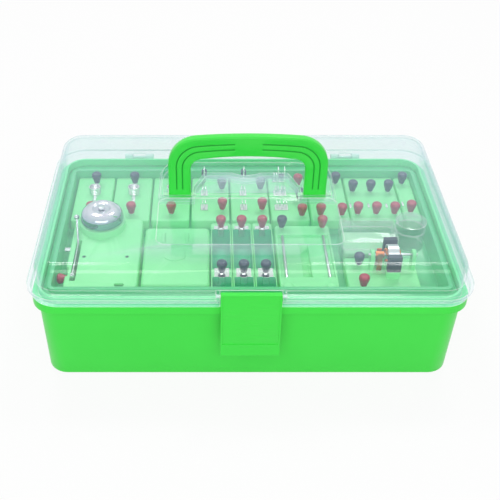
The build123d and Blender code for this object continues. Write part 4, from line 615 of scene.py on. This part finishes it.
def rounded(points, radius, steps=4):
    """An outline of (r, z) corners whose inner corners are eased by quadratic curves."""
    points = np.array(points, float)
    ends = [points[:1]]
    for before, corner, after in zip(points[:-2], points[1:-1], points[2:]):
        into = (before - corner) / np.linalg.norm(before - corner)
        onward = (after - corner) / np.linalg.norm(after - corner)
        ease = min(radius, np.linalg.norm(before - corner) / 2, np.linalg.norm(after - corner) / 2)
        t = np.linspace(0, 1, steps)[:, None]
        start = corner + into * ease
        finish = corner + onward * ease
        ends.append((1 - t) ** 2 * start + 2 * t * (1 - t) * corner + t ** 2 * finish)
    ends.append(points[-1:])
    return np.concatenate(ends)


# %% [markdown]
# One engineered node can hold many separate solids, such as all the red caps. To dress each one,
# its place is read from the node itself: corners that share a triangle get the same label, until
# no label changes, and every label left is one solid with its own box.

# %% Find the solids in a node
def solids(node):
    """The lowest and highest corners, in millimetres, of every separate solid in a node."""
    mesh = frame["nodes"][node].data
    points = np.zeros(len(mesh.vertices) * 3)
    mesh.vertices.foreach_get("co", points)
    points = points.reshape(-1, 3) / MM
    _, weld = np.unique(np.round(points, 3), axis=0, return_inverse=True)
    weld = weld.reshape(-1)
    mesh.calc_loop_triangles()
    triangles = np.zeros(len(mesh.loop_triangles) * 3, int)
    mesh.loop_triangles.foreach_get("vertices", triangles)
    triangles = weld[triangles].reshape(-1, 3)
    label = np.arange(weld.max() + 1)
    while True:
        lowest = label[triangles].min(axis=1)
        found = label.copy()
        for corner in range(3):
            np.minimum.at(found, triangles[:, corner], lowest)
        if (found == label).all():
            break
        label = found
    owner = label[weld]
    return [(points[owner == each].min(axis=0), points[owner == each].max(axis=0))
            for each in np.unique(owner)]


red_caps = solids("red_post_caps")
black_caps = solids("black_post_caps")
print("red caps", len(red_caps), "black caps", len(black_caps))

# %% [markdown]
# A post cap is a tapered thumb nut: a plain neck, a fluted grip that widens upwards and a rounded
# top. The flutes are a cosine wave on the radius that dies away at the neck and at the dome.

# %% Post caps
def cap_grid(height):
    """One cap standing on its neck: radius(z) from the profile, less 0.22 mm times a flute wave."""
    profile = rounded([
        (0.0, 0.0), (2.2, 0.0), (2.6, 0.5), (2.8, 1.8), (4.25, height * 0.6), (4.45, height * 0.8),
        (3.5, height - 0.5), (1.7, height), (0.0, height),
    ], 1.2, steps=5)

    def flutes(angle, rows, depth=0.22, count=14):
        above_neck = np.clip((rows[:, 1:] - 1.6) / 1.5, 0, 1)
        below_dome = np.clip(height * 0.85 - rows[:, 1:], 0, 1)
        outer = rows[:, :1] > 2.6
        return -depth * above_neck * below_dome * outer * (0.5 - 0.5 * np.cos(count * angle))

    return turned(profile, 84, flutes)


def placed_caps(name, boxes, material, node):
    """A cap for every solid of a node, upright, or lying to the left where the solid lies."""
    grids = []
    for low, high in boxes:
        middle = (low + high) / 2
        size = high - low
        if size[2] > size[0]:
            grids.append(cap_grid(size[2]) + (middle[0], middle[1], low[2]))
        else:
            lying = cap_grid(size[0])[..., [2, 1, 0]] * (-1, 1, 1)
            grids.append(lying + (high[0], middle[1], middle[2]))
    return attach(grid_piece(name, np.stack(grids) * MM, material), "case", node)


placed_caps("red_caps", red_caps, red_plastic, "red_post_caps")
placed_caps("black_caps", black_caps, black_plastic, "black_post_caps")

# %% [markdown]
# The gong is spun from thin sheet and plated: a rolled rim, a steep side, a round shoulder and a
# shallow dish under the screw. Its profile is turned once, outside and inside in one closed line.
# The plate's tint climbs with height from slate to white: a painted reflection, for the dim room in
# front that the steep side mirrors and the ceiling that the top mirrors.

# %% Gong
gong_low, gong_high = box_mm("bell_gong")
gong_centre = (gong_low + gong_high) / 2
gong_r = (gong_high[0] - gong_low[0]) / 2
gong_h = gong_high[2] - gong_low[2]


def gong_painted_reflection():
    """Bright plate with a painted reflection, its tint following t, the height up the gong from 0
    to 1: slate + t^2 * rest.
    """
    skin = Finish("gong_plate_painted_reflection")
    height = skin.node("ShaderNodeSeparateXYZ", inputs={0: skin.place()}, out=2)
    climb = skin.clamp((height - gong_low[2] * MM) / (gong_h * MM))
    # Painted reflection: slate low on the steep side, white on the top.
    tint = skin.mix(climb ** 2.0, linear(122, 158, 172), linear(240, 228, 242))
    rough = skin.noise(0.01) * 0.03 + 0.08
    return skin.done(skin.principled(Base_Color=tint, Metallic=1.0, Roughness=rough))


hub_r = 1.9
sheet = 0.9
outer_line = rounded([
    (gong_r - 0.5, 0.0), (gong_r, 0.25), (gong_r, 2.2), (gong_r - 1.0, gong_h - 4.0),
    (gong_r - 5.2, gong_h - 0.7), (9.2, gong_h), (7.6, gong_h - 0.2), (7.0, gong_h - 1.4),
    (hub_r, gong_h - 1.4),
], 2.2, steps=8)
inner_line = np.maximum(outer_line - (sheet, sheet), (hub_r, 0.0))[::-1]
gong_profile = np.concatenate([outer_line, inner_line, outer_line[:1]])
gong = turned(gong_profile, 128) + (gong_centre[0], gong_centre[1], gong_low[2])
attach(grid_piece("gong", gong[None] * MM, gong_painted_reflection()), "case", "bell_gong")

# %% [markdown]
# Two screws hold the bell's cover down, each sunk in a small hole that only shows as a dark dot, so
# each is a shallow button coloured with painted shade, a dark green.
# They stand at a fixed distance in front of the bell's back, one near each side of the cover.

# %% Cover screws
def cover_screws():
    """Two shallow buttons, turned from a profile 1.5 mm in radius and 0.12 mm high."""
    low, high = box_mm("bell_body")
    button = turned(np.array([(0.0, 0.12), (1.1, 0.12), (1.5, 0.0), (1.5, -0.2)]), 24)
    cover_top = 79.0
    middle_y = high[1] - 62.8
    left_x, right_x = low[0] + 12.6, high[0] - 10.1
    return np.stack([button + (x, middle_y, cover_top) for x in (left_x, right_x)])


# The screw buttons are coloured with painted shade, for the dark holes they sit in.
attach(grid_piece("cover_screws", cover_screws() * MM, hole_painted_shade), "case")

# %% [markdown]
# A miniature lamp screws into a thin metal shell whose wall is rolled into a thread. The radius of
# the shell rises and falls with a helix: a sine of the height over the pitch, less the angle.

# %% Lamp holders
def threaded_shell(low, high):
    """A cup with a rolled thread: r = r0 + crest sin(2 pi z / pitch - a) on its upright walls."""
    crest, pitch, wall = 0.22, 1.7, 0.55
    radius = (high[0] - low[0]) / 2 - 0.3
    height = high[2] - low[2]
    rise = np.linspace(0.5, height - 0.5, 36)
    fall = np.linspace(height - 0.5, 1.4, 36)
    outside = np.stack([np.full_like(rise, radius), rise], axis=1)
    inside = np.stack([np.full_like(fall, radius - wall), fall], axis=1)
    profile = np.concatenate([
        [(0.0, 0.0), (radius, 0.0)], outside, [(radius + 0.1, height), (radius - 0.65, height)],
        inside, [(0.0, 1.3)],
    ])

    def thread(angle, rows):
        z = rows[:, 1:]
        upright = np.clip((z - 0.8) * (height - 0.6 - z), 0, 1) * (rows[:, :1] > 2)
        return crest * upright * np.sin(2 * pi * z / pitch - angle)

    middle = (low + high) / 2
    return turned(profile, 72, thread) + (middle[0], middle[1], low[2])


for number in (1, 2, 3):
    node = f"lamp_socket_{number}"
    shell = threaded_shell(*box_mm(node))
    attach(grid_piece(f"lamp_shell_{number}", shell[None] * MM, nickel), "case", node)

# %% [markdown]
# The rotor's windings are enamelled wire wound round each pole. Seen close, a winding is a closed
# ring whose skin is ribbed by its turns, so it is a rounded section carried round a rounded
# rectangle, with a wave across the section for the wires.

# %% Rotor windings
def blunt(wave, power):
    """A wave flattened towards 1 and -1: its sign times its size to a power below 1."""
    return np.sign(wave) * np.abs(wave) ** power


def winding(half_long, half_wide, thick, deep, turns):
    """A ring of wire in its own plane: a section of thick by deep carried round a rounded path.

    The path is a superellipse |x/a|^4 + |y/b|^4 = 1, and the section a superellipse with ribs.
    """
    along = np.linspace(0, 2 * pi, 96, endpoint=False)[:, None]
    across = np.linspace(0, 2 * pi, 12 * turns, endpoint=False)[None, :]
    path_x = half_long * blunt(np.cos(along), 0.5)
    path_y = half_wide * blunt(np.sin(along), 0.5)
    ribs = 1 + 0.035 * np.cos(across * turns * 2)
    out = thick / 2 * blunt(np.cos(across), 0.6) * ribs
    up = deep / 2 * blunt(np.sin(across), 0.6) * ribs
    x = path_x * (1 + out / half_long)
    y = path_y * (1 + out / half_wide)
    return np.stack([x, y, up + np.zeros_like(x)], axis=-1)


core_low, core_high = box_mm("motor_core")
core_middle = (core_low + core_high) / 2
shaft_low, shaft_high = box_mm("motor_shaft")
axis_y, axis_z = (shaft_low[1] + shaft_high[1]) / 2, (shaft_low[2] + shaft_high[2]) / 2
coil_reach = 4.62
past_core = 0.85
half_long = (core_high[0] - core_low[0]) / 2 + past_core
one = winding(half_long, half_wide=2.3, thick=1.4, deep=2.1, turns=6)
coils = []
for pole in np.radians([0, 120, 240]):
    outward = one[..., 2] + coil_reach
    y = axis_y + outward * cos(pole) - one[..., 1] * sin(pole)
    z = axis_z + outward * sin(pole) + one[..., 1] * cos(pole)
    coils.append(np.stack([core_middle[0] + one[..., 0], y, z], axis=-1))
attach(grid_piece("rotor_windings", np.stack(coils) * MM, copper, close_rows=True), "rotor",
       "motor_coils")
